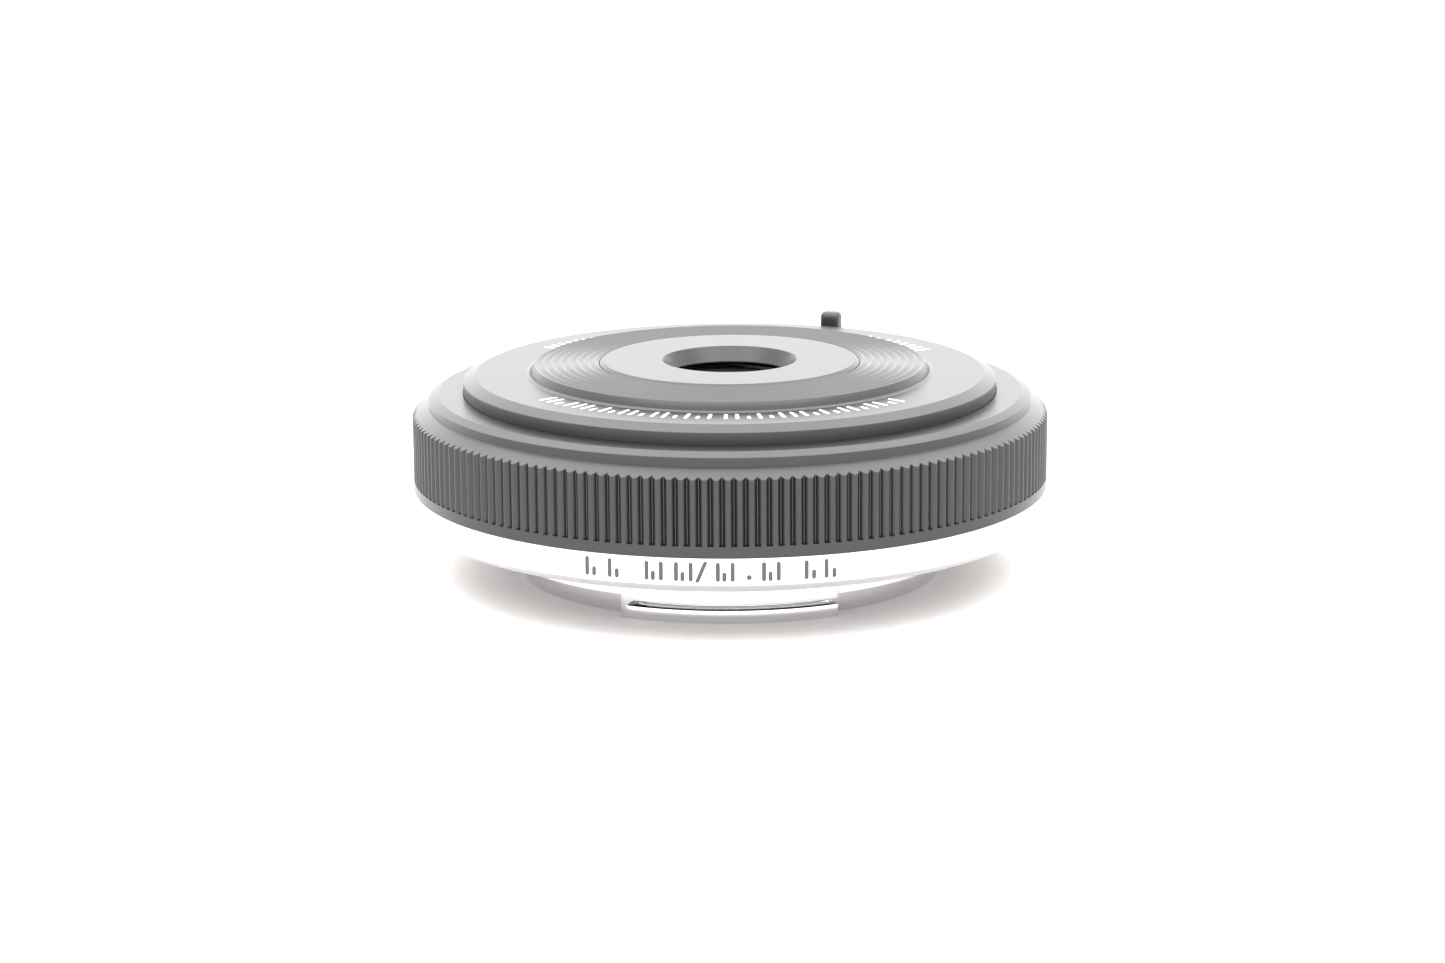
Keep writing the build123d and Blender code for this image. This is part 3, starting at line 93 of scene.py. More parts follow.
class LensSizes(bpy.types.PropertyGroup):
    """Sizes of the visible details."""

    body_radius: distance("Grip radius", "Outside of the ribbed grip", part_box("grip_ring")[1].x)
    band_radius: distance("Band radius", "Outside of the silver band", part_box("silver_band")[1].x)
    rib_count: IntProperty(name="Ribs", description="Ribs round the grip", default=180, min=12)
    rib_depth: distance("Rib depth", "Depth of the grooves between the ribs", 0.00041)
    rib_groove: distance("Rib groove", "Width of each groove at the ribs' crests", 0.00046)
    groove_count: IntProperty(name="Front grooves", description="Turned grooves round the window disc",
                              default=7, min=1)
    groove_pitch: distance("Groove pitch", "Distance from one turned groove to the next", 0.000815)
    groove_depth: distance("Groove depth", "Depth of a turned groove", 0.00018)
    print_height: distance("Print height", "Length of the printed bars on the front plate", 0.0020)
    mark_height: distance("Mark height", "Height of the engraved bars on the silver band", 0.00175)
    mark_width: distance("Mark width", "Width of the engraved bars", 0.00038)


class LensFinish(bpy.types.PropertyGroup):
    """Colours and gloss of the visible finishes."""

    black: tint("Black anodising", "Colour of the anodised front and grip", (0.028, 0.0272, 0.0288))
    black_gloss: share("Black roughness", "Roughness of the anodised front and grip", 0.36)
    silver: tint("Silver anodising", "Colour of the silver band", (0.90, 0.895, 0.89))
    silver_gloss: share("Silver roughness", "Roughness of the silver band", 0.42)
    mount: tint("Bayonet metal", "Colour of the plated bayonet", (0.93, 0.915, 0.905))
    mount_gloss: share("Bayonet roughness", "Roughness of the plated bayonet", 0.45)
    engraving: tint("Engraving", "Colour of the filled bars on the silver band", (0.055, 0.048, 0.045))
    paint: tint("Print", "Colour of the bars printed on the front", (0.86, 0.86, 0.85))


class StudioSettings(bpy.types.PropertyGroup):
    """Light, floor and camera."""

    floor: tint("Floor", "Colour of the table", (0.60, 0.583, 0.576))
    back_light: share("Back wall", "Brightness of the room behind the lens", 3.3, 20.0)
    front_light: share("Front wall", "Brightness of the room in front of the lens", 2.8, 20.0)
    softbox: share("Softbox", "Brightness of the softbox overhead", 2.9, 50.0)
    softbox_side: distance("Softbox side", "Side of the square softbox", 1.2)
    softbox_height: distance("Softbox height", "Height of the softbox over the table", 0.60)
    softbox_back: distance("Softbox set back", "How far behind the lens the softbox hangs", 0.0)


# ---- Mesh tools ----
def sizes():
    return bpy.context.scene.lens_sizes


def in_mm(value):
    return value / MM


def rounded(corners):
    """Return a closed outline from (radius, height, rounding) corners, with a flat beside each arc."""
    outline = []
    count = len(corners)
    for i, (radius, height, rounding) in enumerate(corners):
        corner = np.array((radius, height), float)
        to_last = np.array(corners[i - 1][:2], float) - corner
        to_next = np.array(corners[(i + 1) % count][:2], float) - corner
        last_length, next_length = np.linalg.norm(to_last), np.linalg.norm(to_next)
        to_last, to_next = to_last / last_length, to_next / next_length
        half = math.acos(float(np.clip(to_last @ to_next, -1, 1))) / 2
        if rounding <= 0 or half > 1.55:
            outline.append(tuple(corner))
            continue
        run = min(rounding / math.tan(half), 0.4 * last_length, 0.4 * next_length)
        arc_r = run * math.tan(half)
        middle = (to_last + to_next) / np.linalg.norm(to_last + to_next) * arc_r / math.sin(half)
        centre = corner + middle
        start, end = corner + to_last * run - centre, corner + to_next * run - centre
        sweep = math.pi - 2 * half
        support = min(0.6 * run, 0.05 * last_length, 0.05 * next_length)
        if support > 1e-3:
            outline.append(tuple(corner + to_last * (run + support)))
        for step in range(ARC_STEPS + 1):
            t = step / ARC_STEPS
            arm = (math.sin((1 - t) * sweep) * start + math.sin(t * sweep) * end) / math.sin(sweep)
            outline.append(tuple(centre + arm))
        if support > 1e-3:
            outline.append(tuple(corner + to_next * (run + support)))
    return outline


def smooth(mesh, degrees):
    """Shade a mesh smooth, apart from its steeper folds."""
    mesh.shade_smooth()
    mesh.set_sharp_from_angle(angle=math.radians(degrees))


def add_mesh(name, points, faces, sharp_angle=SHARP_ANGLE):
    """Make an object from points in millimetres, with outward faces and smooth shading."""
    mesh = bpy.data.meshes.new(name)
    mesh.from_pydata((np.asarray(points, float) * MM).tolist(), [], faces)
    work = bmesh.new()
    work.from_mesh(mesh)
    bmesh.ops.recalc_face_normals(work, faces=work.faces)
    work.to_mesh(mesh)
    work.free()
    smooth(mesh, sharp_angle)
    piece = bpy.data.objects.new(name, mesh)
    bpy.context.scene.collection.objects.link(piece)
    return piece


def grid_mesh(name, angles, radii, heights, skip=None, extra=(), sharp_angle=SHARP_ANGLE):
    """Make a ring whose section changes round it: radii and heights are (row, column) tables."""
    rows, columns = radii.shape
    x, y = radii * np.cos(angles), radii * np.sin(angles)
    points = np.stack((x, y, heights), axis=-1).reshape(-1, 3)
    faces = []
    for row in range(rows):
        upper = (row + 1) % rows
        for column in range(columns):
            if skip is not None and skip(row, column):
                continue
            after = (column + 1) % columns
            faces.append((row * columns + column, row * columns + after,
                          upper * columns + after, upper * columns + column))
    faces.extend(extra)
    return add_mesh(name, points, faces, sharp_angle)


def turned(name, corners):
    """Make a turned ring from its (radius, height, rounding) corners."""
    outline = np.array(rounded(corners))
    angles = np.linspace(0, TAU, COLUMNS, endpoint=False)
    radii = np.repeat(outline[:, :1], COLUMNS, axis=1)
    heights = np.repeat(outline[:, 1:], COLUMNS, axis=1)
    return grid_mesh(name, angles, radii, heights)


def wall_faces(rows, columns):
    """Return the faces between rows of points that each close on themselves."""
    faces = []
    for low in range(0, (rows - 1) * columns, columns):
        for i in range(columns):
            after = (i + 1) % columns
            faces.append((low + i, low + after, low + columns + after, low + columns + i))
    return faces


def prism(outline, low, high):
    """Return the points and faces of an upright prism."""
    count = len(outline)
    points = [(x, y, low) for x, y in outline] + [(x, y, high) for x, y in outline]
    faces = [tuple(range(count)), tuple(range(2 * count - 1, count - 1, -1))]
    faces += [(i, (i + 1) % count, (i + 1) % count + count, i + count) for i in range(count)]
    return points, faces


def joined(parts):
    """Return the points and faces of several loose parts as one mesh."""
    points, faces = [], []
    for part_points, part_faces in parts:
        shift = len(points)
        points.extend(part_points)
        faces.extend(tuple(i + shift for i in face) for face in part_faces)
    return points, faces


def circle(radius, count, x=0.0, y=0.0):
    """Return the flat outline of a circle."""
    turns = np.linspace(0, TAU, count, endpoint=False)
    return [(x + radius * math.cos(turn), y + radius * math.sin(turn)) for turn in turns]


def capsule(width, length, steps=6):
    """Return the flat outline of a bar with round ends, upright and centred."""
    radius = min(width, length) / 2
    reach = max(length / 2 - radius, 0)
    outline = []
    for end, start in ((1, 0.0), (-1, math.pi)):
        for step in range(steps + 1):
            turn = start + math.pi * step / steps
            outline.append((radius * math.cos(turn), end * reach + radius * math.sin(turn)))
    return outline


def cut(piece, points, faces):
    """Take a cutter's volume out of a piece."""
    cutter = add_mesh("cutter", points, faces)
    modifier = piece.modifiers.new("pockets", "BOOLEAN")
    modifier.operation = "DIFFERENCE"
    modifier.solver = "EXACT"
    modifier.object = cutter
    view = bpy.context.evaluated_depsgraph_get()
    mesh = bpy.data.meshes.new_from_object(piece.evaluated_get(view))
    piece.modifiers.clear()
    piece.data = mesh
    bpy.data.objects.remove(cutter)
    smooth(mesh, SHARP_ANGLE)


def place(piece, body, slot, *nodes):
    """Give a piece its finish and its body, and hide the frame nodes that it stands for."""
    piece.data.materials.clear()
    piece.data.materials.append(finish(slot))
    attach(piece, body)
    if nodes:
        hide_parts(*nodes)


def polar(radius, degrees):
    turn = math.radians(degrees)
    return radius * math.cos(turn), radius * math.sin(turn)


def beside(outward, u, v):
    """Return the point that lies u along a direction and v to its left."""
    return u * outward[0] - v * outward[1], u * outward[1] + v * outward[0]


# ---- Shader node groups ----
def new_group(name, inputs, outputs):
    """Return a new node group with (name, kind, default) inputs and (name, kind) outputs."""
    group = bpy.data.node_groups.new(name, "ShaderNodeTree")
    for label, kind, value in inputs:
        socket = group.interface.new_socket(name=label, in_out="INPUT", socket_type=kind)
        if value is not None:
            socket.default_value = value
    for label, kind in outputs:
        group.interface.new_socket(name=label, in_out="OUTPUT", socket_type=kind)
    return group, group.nodes.new("NodeGroupInput"), group.nodes.new("NodeGroupOutput")


def math_node(tree, operation, first, second=None, third=None):
    """Add a math node fed by sockets or numbers, and return its result."""
    node = tree.nodes.new("ShaderNodeMath")
    node.operation = operation
    for i, value in enumerate((first, second, third)):
        if value is None:
            continue
        if isinstance(value, (int, float)):
            node.inputs[i].default_value = value
        else:
            tree.links.new(value, node.inputs[i])
    return node.outputs[0]


def noise_node(tree, vector, scale, detail, dimensions="3D"):
    """Add a noise node fed by sockets, and return its result."""
    node = tree.nodes.new("ShaderNodeTexNoise")
    node.noise_dimensions = dimensions
    node.inputs["Detail"].default_value = detail
    tree.links.new(vector, node.inputs["Vector"])
    tree.links.new(scale, node.inputs["Scale"])
    return node.outputs[0]


def fine_grain():
    """Blasted or moulded grain: a fine noise with slow patches over it."""
    group, source, result = new_group(
        "fine_grain",
        [("Vector", "NodeSocketVector", None), ("Grains per metre", "NodeSocketFloat", 9000.0),
         ("Patches per metre", "NodeSocketFloat", 90.0)],
        [("Grain", "NodeSocketFloat"), ("Patches", "NodeSocketFloat")])
    grain = noise_node(group, source.outputs["Vector"], source.outputs["Grains per metre"], 2.0)
    patches = noise_node(group, source.outputs["Vector"], source.outputs["Patches per metre"], 3.0)
    group.links.new(grain, result.inputs["Grain"])
    group.links.new(patches, result.inputs["Patches"])
    return group


def turning_lines():
    """Fine tool lines of a lathe: noise that changes only with radius and height."""
    group, source, result = new_group(
        "turning_lines",
        [("Vector", "NodeSocketVector", None), ("Lines per metre", "NodeSocketFloat", 9000.0)],
        [("Lines", "NodeSocketFloat")])
    split = group.nodes.new("ShaderNodeSeparateXYZ")
    group.links.new(source.outputs["Vector"], split.inputs[0])
    squares = math_node(group, "ADD", math_node(group, "MULTIPLY", split.outputs[0], split.outputs[0]),
                        math_node(group, "MULTIPLY", split.outputs[1], split.outputs[1]))
    radius = math_node(group, "SQRT", squares)
    joined_up = group.nodes.new("ShaderNodeCombineXYZ")
    group.links.new(radius, joined_up.inputs[0])
    group.links.new(split.outputs[2], joined_up.inputs[1])
    lines = noise_node(group, joined_up.outputs[0], source.outputs["Lines per metre"], 1.0, "2D")
    group.links.new(lines, result.inputs["Lines"])
    return group


def edge_wear():
    """Masks of outward edges, for a painted highlight where a bevel would catch light, and of crevices, for
    dust and painted light that lift the dark hollows.
    """
    group, source, result = new_group(
        "edge_wear",
        [("Start", "NodeSocketFloat", 0.52), ("Full", "NodeSocketFloat", 0.62),
         ("Edge amount", "NodeSocketFloat", 0.5), ("Crevice amount", "NodeSocketFloat", 0.5)],
        [("Edge", "NodeSocketFloat"), ("Crevice", "NodeSocketFloat")])
    geometry = group.nodes.new("ShaderNodeNewGeometry")
    ramp = group.nodes.new("ShaderNodeMapRange")
    group.links.new(geometry.outputs["Pointiness"], ramp.inputs["Value"])
    group.links.new(source.outputs["Start"], ramp.inputs["From Min"])
    group.links.new(source.outputs["Full"], ramp.inputs["From Max"])
    edge = math_node(group, "MULTIPLY", ramp.outputs[0], source.outputs["Edge amount"])
    group.links.new(edge, result.inputs["Edge"])
    hollow = group.nodes.new("ShaderNodeMapRange")
    group.links.new(geometry.outputs["Pointiness"], hollow.inputs["Value"])
    hollow.inputs["From Min"].default_value = 0.49
    hollow.inputs["From Max"].default_value = 0.44
    crevice = math_node(group, "MULTIPLY", hollow.outputs[0], source.outputs["Crevice amount"])
    group.links.new(crevice, result.inputs["Crevice"])
    return group


def dust_specks():
    """Mask of a few small round specks of dust."""
    group, source, result = new_group(
        "dust_specks",
        [("Vector", "NodeSocketVector", None), ("Cells per metre", "NodeSocketFloat", 700.0),
         ("Speck", "NodeSocketFloat", 0.07), ("Share", "NodeSocketFloat", 0.06)],
        [("Mask", "NodeSocketFloat")])
    cells = group.nodes.new("ShaderNodeTexVoronoi")
    group.links.new(source.outputs["Vector"], cells.inputs["Vector"])
    group.links.new(source.outputs["Cells per metre"], cells.inputs["Scale"])
    split = group.nodes.new("ShaderNodeSeparateColor")
    group.links.new(cells.outputs["Color"], split.inputs[0])
    chosen = math_node(group, "LESS_THAN", split.outputs[0], source.outputs["Share"])
    size = math_node(group, "MULTIPLY", source.outputs["Speck"], split.outputs[1])
    inside = math_node(group, "LESS_THAN", cells.outputs["Distance"], size)
    group.links.new(math_node(group, "MULTIPLY", chosen, inside), result.inputs["Mask"])
    return group


def layered_lines():
    """Bands that repeat with height, as on wound wire."""
    group, source, result = new_group(
        "layered_lines",
        [("Vector", "NodeSocketVector", None), ("Turns per metre", "NodeSocketFloat", 5000.0)],
        [("Height", "NodeSocketFloat")])
    split = group.nodes.new("ShaderNodeSeparateXYZ")
    group.links.new(source.outputs["Vector"], split.inputs[0])
    turns = math_node(group, "MULTIPLY", split.outputs[2], source.outputs["Turns per metre"])
    wave = math_node(group, "SINE", math_node(group, "MULTIPLY", turns, TAU))
    group.links.new(math_node(group, "MULTIPLY_ADD", wave, 0.5, 0.5), result.inputs["Height"])
    return group


GROUP_MAKERS = {make.__name__: make
                for make in (fine_grain, turning_lines, edge_wear, dust_specks, layered_lines)}


def add_group(tree, name, **values):
    """Place a shared group in a material, building the group the first time."""
    node = tree.nodes.new("ShaderNodeGroup")
    node.node_tree = bpy.data.node_groups.get(name) or GROUP_MAKERS[name]()
    for label, value in values.items():
        node.inputs[label.replace("_", " ")].default_value = value
    return node


def mix_colour(tree, factor, first, second):
    """Mix two colours by a mask, and return the result."""
    node = tree.nodes.new("ShaderNodeMix")
    node.data_type = "RGBA"
    tree.links.new(factor, node.inputs["Factor"])
    for label, value in (("A", first), ("B", second)):
        socket = next(s for s in node.inputs if s.name == label and s.type == "RGBA")
        if isinstance(value, tuple):
            socket.default_value = (*value, 1.0)
        else:
            tree.links.new(value, socket)
    return next(s for s in node.outputs if s.type == "RGBA")


# ---- Finishes ----
# slot: colour, roughness, metallic, grains per metre, grain depth, lines per metre, line depth,
# painted edge highlight (which also brings crevice dust and painted light), dust share. Depths are in
# micrometres.
FINISHES = {
    "mount_metal": (None, None, 0.05, 9000, 0.3, 14000, 1.2, 0.0, 0.0),
    "silver_anodised": (None, None, 0.92, 14000, 1.6, 16000, 0.3, 0.0, 0.0),
    "black_anodised": (None, None, 0.0, 13000, 2.2, 9000, 0.5, 0.20, 0.08),
    "screw_steel": ((0.55, 0.55, 0.57), 0.28, 1.0, 9000, 0.3, 16000, 0.8, 0.0, 0.0),
    "shim_steel": ((0.50, 0.50, 0.51), 0.35, 1.0, 7000, 0.8, 6000, 0.4, 0.0, 0.0),
    "black_plastic": ((0.022, 0.022, 0.023), 0.48, 0.0, 9000, 5.0, 4000, 0.0, 0.10, 0.02),
    "black_screw": ((0.020, 0.020, 0.022), 0.38, 0.6, 9000, 0.8, 16000, 0.8, 0.25, 0.0),
    "gold_contact": ((0.90, 0.66, 0.30), 0.22, 1.0, 9000, 0.4, 16000, 0.3, 0.0, 0.0),
    "chassis_plastic": ((0.040, 0.040, 0.043), 0.52, 0.0, 5000, 6.0, 4000, 0.0, 0.10, 0.0),
    "board_green": ((0.012, 0.075, 0.030), 0.35, 0.0, 2500, 5.0, 1200, 2.0, 0.0, 0.0),
    "chip_black": ((0.018, 0.018, 0.018), 0.45, 0.0, 12000, 3.0, 4000, 0.0, 0.15, 0.0),
    "flex_amber": ((0.42, 0.17, 0.035), 0.30, 0.0, 3000, 2.0, 2000, 1.0, 0.0, 0.0),
    "carrier_plastic": ((0.05, 0.049, 0.049), 0.50, 0.0, 8000, 5.0, 4000, 0.0, 0.10, 0.0),
    "coil_copper": ((0.78, 0.36, 0.20), 0.30, 1.0, 7000, 0.8, 4000, 0.0, 0.0, 0.0),
    "magnet_nickel": ((0.62, 0.60, 0.56), 0.25, 1.0, 7000, 0.6, 4000, 0.0, 0.0, 0.0),
    "matt_black_sheet": ((0.075, 0.072, 0.072), 0.55, 0.0, 14000, 2.0, 4000, 0.0, 0.12, 0.0),
    "white_paint": (None, 0.38, 0.0, 7000, 1.5, 4000, 0.0, 0.0, 0.0),
    "dark_fill": (None, 0.55, 0.0, 9000, 3.0, 4000, 0.0, 0.0, 0.0),
}
FINISH_COLOURS = {"mount_metal": ("mount", "mount_gloss"), "silver_anodised": ("silver", "silver_gloss"),
                  "black_anodised": ("black", "black_gloss"), "dark_fill": ("engraving", None),
                  "white_paint": ("paint", None)}
# light grey for crevices: partly dust, partly painted light that lifts dark grooves and corners
CREVICE_DUST_AND_PAINTED_LIGHT = (0.42, 0.41, 0.405)
SPECK_COLOUR = (0.62, 0.60, 0.58)
BLACK_IOR = 1.42           # chosen to keep the steep black walls dark
MICROMETRE = 1e-6
GLASS_IOR = 1.62
COATING_NM = 118.0
COATING_IOR = 1.38
COATED_SHINE = 0.06        # specular level; 0.5 would be bare glass


def new_material(name):
    """Return a new material, its node tree, its shader and its object coordinates."""
    material = bpy.data.materials.new(name)
    material.use_nodes = True
    tree = material.node_tree
    coordinates = tree.nodes.new("ShaderNodeTexCoord").outputs["Object"]
    return material, tree, tree.nodes["Principled BSDF"], coordinates


def glass():
    """Coated optical glass."""
    material, tree, shader, coordinates = new_material("coated_glass")
    for label, value in (("Base Color", (0.97, 0.985, 0.98, 1.0)), ("Roughness", 0.02), ("IOR", GLASS_IOR),
                         ("Transmission Weight", 1.0), ("Specular IOR Level", COATED_SHINE),
                         ("Thin Film Thickness", COATING_NM), ("Thin Film IOR", COATING_IOR)):
        shader.inputs[label].default_value = value
    dust = add_group(tree, "dust_specks", Cells_per_metre=900.0, Speck=0.05, Share=0.05)
    tree.links.new(coordinates, dust.inputs["Vector"])
    grain = add_group(tree, "fine_grain", Grains_per_metre=2500.0, Patches_per_metre=160.0)
    tree.links.new(coordinates, grain.inputs["Vector"])
    wiped = math_node(tree, "MULTIPLY_ADD", grain.outputs["Patches"], 0.03, 0.005)
    tree.links.new(math_node(tree, "MULTIPLY_ADD", dust.outputs[0], 0.5, wiped), shader.inputs["Roughness"])
    return material


def finish(slot):
    """Return the material of a slot, building it the first time."""
    made = bpy.data.materials.get(slot)
    if made:
        return made
    if slot == "coated_glass":
        return glass()
    colour, rough, metallic, grains, grain_depth, lines, line_depth, painted_edge_highlight, dusty = FINISHES[slot]
    chosen = bpy.context.scene.lens_finish
    if slot in FINISH_COLOURS:
        colour_name, gloss_name = FINISH_COLOURS[slot]
        colour = tuple(getattr(chosen, colour_name))
        rough = getattr(chosen, gloss_name) if gloss_name else rough
    material, tree, shader, coordinates = new_material(slot)
    shader.inputs["Metallic"].default_value = metallic
    if slot == "black_anodised":
        shader.inputs["IOR"].default_value = BLACK_IOR
    grain = add_group(tree, "fine_grain", Grains_per_metre=float(grains), Patches_per_metre=90.0)
    turning = add_group(tree, "turning_lines", Lines_per_metre=float(lines))
    for node in (grain, turning):
        tree.links.new(coordinates, node.inputs["Vector"])

    darker = tuple(c * 0.93 for c in colour)
    base = mix_colour(tree, grain.outputs["Patches"], darker, tuple(min(c * 1.07, 1.0) for c in colour))
    rough_now = math_node(tree, "MULTIPLY_ADD", grain.outputs["Patches"], 0.12, rough - 0.06)
    rough_now = math_node(tree, "SUBTRACT", rough_now, 0.03)
    rough_now = math_node(tree, "MULTIPLY_ADD", turning.outputs["Lines"], 0.06, rough_now)
    # painted highlight on outward edges; crevices lifted by dust and painted light
    if painted_edge_highlight:
        painted_light_and_dust = add_group(tree, "edge_wear", Start=0.55, Full=0.68, Edge_amount=painted_edge_highlight, Crevice_amount=0.8)
        base = mix_colour(tree, painted_light_and_dust.outputs["Edge"], base, tuple(min(c * 3 + 0.05, 1.0) for c in colour))
        base = mix_colour(tree, painted_light_and_dust.outputs["Crevice"], base, CREVICE_DUST_AND_PAINTED_LIGHT)
    if dusty:
        dust = add_group(tree, "dust_specks", Cells_per_metre=620.0, Speck=0.075, Share=dusty)
        tree.links.new(coordinates, dust.inputs["Vector"])
        base = mix_colour(tree, dust.outputs["Mask"], base, SPECK_COLOUR)
        rough_now = math_node(tree, "MULTIPLY_ADD", dust.outputs["Mask"], 0.4, rough_now)
    tree.links.new(base, shader.inputs["Base Color"])
    tree.links.new(rough_now, shader.inputs["Roughness"])

    height = math_node(tree, "MULTIPLY", grain.outputs["Grain"], grain_depth)
    if line_depth:
        height = math_node(tree, "MULTIPLY_ADD", turning.outputs["Lines"], line_depth, height)
    if slot == "coil_copper":
        wound = add_group(tree, "layered_lines", Turns_per_metre=7000.0)
        tree.links.new(coordinates, wound.inputs["Vector"])
        height = math_node(tree, "MULTIPLY_ADD", wound.outputs["Height"], 25.0, height)
    bump = tree.nodes.new("ShaderNodeBump")
    bump.inputs["Distance"].default_value = MICROMETRE
    bump.inputs["Strength"].default_value = 1.0
    tree.links.new(height, bump.inputs["Height"])
    tree.links.new(bump.outputs[0], shader.inputs["Normal"])
    return material


# ---- Bayonet ----
NECK_R, REGISTER_R, NECK_BORE_R, REGISTER_Z = 20.0, 21.6, 18.7, 2.13
FLANGE_Z, FLANGE_R, FLANGE_TOP_Z = 4.72, 28.2, 6.0
SLOT_Z, SLOT_TOP_Z = 1.2, 1.7
CLAW_MIDDLE, CLAW_SPAN, CLAW_COUNT = -90.3, 54.6, 3
CLAW_STOP, CLAW_RAMP = 1.3, 2.0      # degrees: solid end of the slot, and its sloped start
SLOT_MOUTH = 0.35                     # rounding of the slot's open end
CLAW_EDGE, CLAW_EDGE_TURN = 0.10, 0.2865   # rounding of a claw's edges, in mm and in degrees
CLAW_JOINT = 0.02                     # degrees over which the wall steps out from neck to claw
SCREW_CIRCLE, SCREW_START, SCREW_COUNT, POCKET_R, POCKET_DEPTH = 24.2, 20.0, 4, 1.55, 0.7
LOCK_CIRCLE, LOCK_ANGLE, LOCK_R, LOCK_LONG_R, LOCK_DEPTH = 24.6, 155.0, 1.3, 1.7, 0.9


class LENS_OT_bayonet(bpy.types.Operator):
    """Build the bayonet: register, three slotted claws and the flange with its screw pockets"""

    bl_idname = "lens.bayonet"
    bl_label = "Bayonet"

    def execute(self, context):
        edge = CLAW_EDGE
        starts = [CLAW_MIDDLE - CLAW_SPAN / 2 + 120 * k for k in range(CLAW_COUNT)]
        degrees = set(np.round(np.arange(0, 360, 0.5), 4))
        for start in starts:
            for offset in (-CLAW_JOINT, 0, CLAW_EDGE_TURN * 0.4, CLAW_EDGE_TURN, CLAW_STOP,
                           CLAW_STOP + CLAW_RAMP, CLAW_SPAN - 1.0, CLAW_SPAN - 0.8, CLAW_SPAN - 0.6,
                           CLAW_SPAN - 0.4, CLAW_SPAN - 0.2, CLAW_SPAN, CLAW_SPAN + CLAW_JOINT):
                degrees.add(round((start + offset) % 360, 4))
        degrees = np.array(sorted(degrees))
        into = np.min(np.stack([(degrees - start) % 360 for start in starts]), axis=0)
        inside = into <= CLAW_SPAN
        outer = np.where(inside, REGISTER_R, NECK_R)
        ramp = np.clip((into - CLAW_STOP) / CLAW_RAMP, 0, 1)
        left = (CLAW_SPAN - into) * math.radians(1) * REGISTER_R
        rise = SLOT_MOUTH - np.sqrt(np.clip(SLOT_MOUTH**2 - (SLOT_MOUTH - left)**2, 0, None))
        mouth = np.where(left < SLOT_MOUTH, rise, 0)
        top = SLOT_Z + (SLOT_TOP_Z - SLOT_Z) * ramp + mouth
        top = np.where(inside, top, SLOT_TOP_Z)
        open_slot = inside & (ramp > 0)
        slot_r = np.where(inside & ~open_slot, REGISTER_R, NECK_R)
        ones = np.ones_like(degrees)
        rows = [(NECK_BORE_R * ones, 0.12 * ones), ((NECK_BORE_R + 0.12) * ones, 0 * ones),
                ((NECK_R - 0.4) * ones, 0 * ones), (outer - edge * 1.2, 0 * ones),
                (outer - edge * 0.3, edge * 0.3 * ones),
                (outer, edge * 1.2 * ones), (outer, (SLOT_Z - 0.10) * ones),
                (outer - np.where(open_slot, 0.02, 0), (SLOT_Z - 0.03) * ones),
                (outer - np.where(open_slot, 0.08, 0), SLOT_Z * ones),
                (slot_r + np.where(open_slot, 0.03, 0), SLOT_Z * ones), (slot_r, (SLOT_Z + 0.03) * ones),
                (slot_r, np.maximum(top - 0.03, SLOT_Z + 0.03)),
                (slot_r + np.where(open_slot, 0.03, 0), np.maximum(top, SLOT_Z + 0.04)),
                (outer - np.where(open_slot, 0.05, 0), np.maximum(top, SLOT_Z + 0.04)),
                (outer, np.maximum(top + 0.05, SLOT_Z + 0.05)),
                (outer, (REGISTER_Z - 0.02) * ones), (outer, REGISTER_Z * ones),
                (np.maximum(outer, REGISTER_R - 0.06), REGISTER_Z * ones),
                (REGISTER_R * ones, (REGISTER_Z + 0.06) * ones)]
        for radius, height in rounded(((REGISTER_R, FLANGE_Z, 0.12), (FLANGE_R, FLANGE_Z, 0.1),
                                       (FLANGE_R, FLANGE_TOP_Z, 0.05), (NECK_BORE_R, FLANGE_TOP_Z, 0.05))):
            rows.append((radius * ones, height * ones))
        radii = np.stack([r for r, _ in rows])
        heights = np.stack([h for _, h in rows])
        ring = grid_mesh("bayonet_ring", np.radians(degrees), radii, heights, sharp_angle=30)
        pockets = []
        for k in range(SCREW_COUNT):
            x, y = polar(SCREW_CIRCLE, SCREW_START + 90 * k)
            pockets.append(prism(circle(POCKET_R, 48, x, y), FLANGE_Z - 1, FLANGE_Z + POCKET_DEPTH))
        outward = polar(1, LOCK_ANGLE)
        lock = [beside(outward, LOCK_CIRCLE + v, u) for u, v in capsule(2 * LOCK_R, 2 * LOCK_LONG_R, 16)]
        pockets.append(prism(lock, FLANGE_Z - 1, FLANGE_Z + LOCK_DEPTH))
        cut(ring, *joined(pockets))
        place(ring, HOUSING, "mount_metal", "mount_ring")
        return {"FINISHED"}


# ---- Silver band and its engraved bars ----
BAND_OUTLINE = (
    (28.25, 4.82, 0.04), (28.5, 4.82, 0.08), (30.0, 5.75, 0.18), (30.0, 8.25, 0.10), (27.75, 8.25, 0.03),
    (27.75, 9.6, 0.1), (26.6, 9.6, 0.1), (26.6, 6.05, 0.05), (28.25, 6.05, 0.03),
)
DOT_Z, DOT_R, DOT_DEPTH = 6.9, 0.9, 0.3
MARK_Z = 6.98
# degrees from the front, and kind: bar, half (low bar), dot
BAND_MARKS = (
    (-25.2, "bar"), (-23.9, "half"), (-21.0, "bar"), (-19.7, "half"),
    (-14.4, "bar"), (-13.3, "half"), (-11.9, "bar"),
    (-9.3, "bar"), (-8.2, "half"), (-6.8, "bar"), (-5.0, "slant"),
    (-2.2, "bar"), (-1.1, "half"), (0.3, "bar"), (3.1, "dot"), (5.6, "bar"), (6.7, "half"), (8.1, "bar"),
    (12.9, "bar"), (14.2, "half"), (16.4, "bar"), (17.8, "half"),
)
MARK_PROUD, MARK_SUNK = 0.012, 0.02


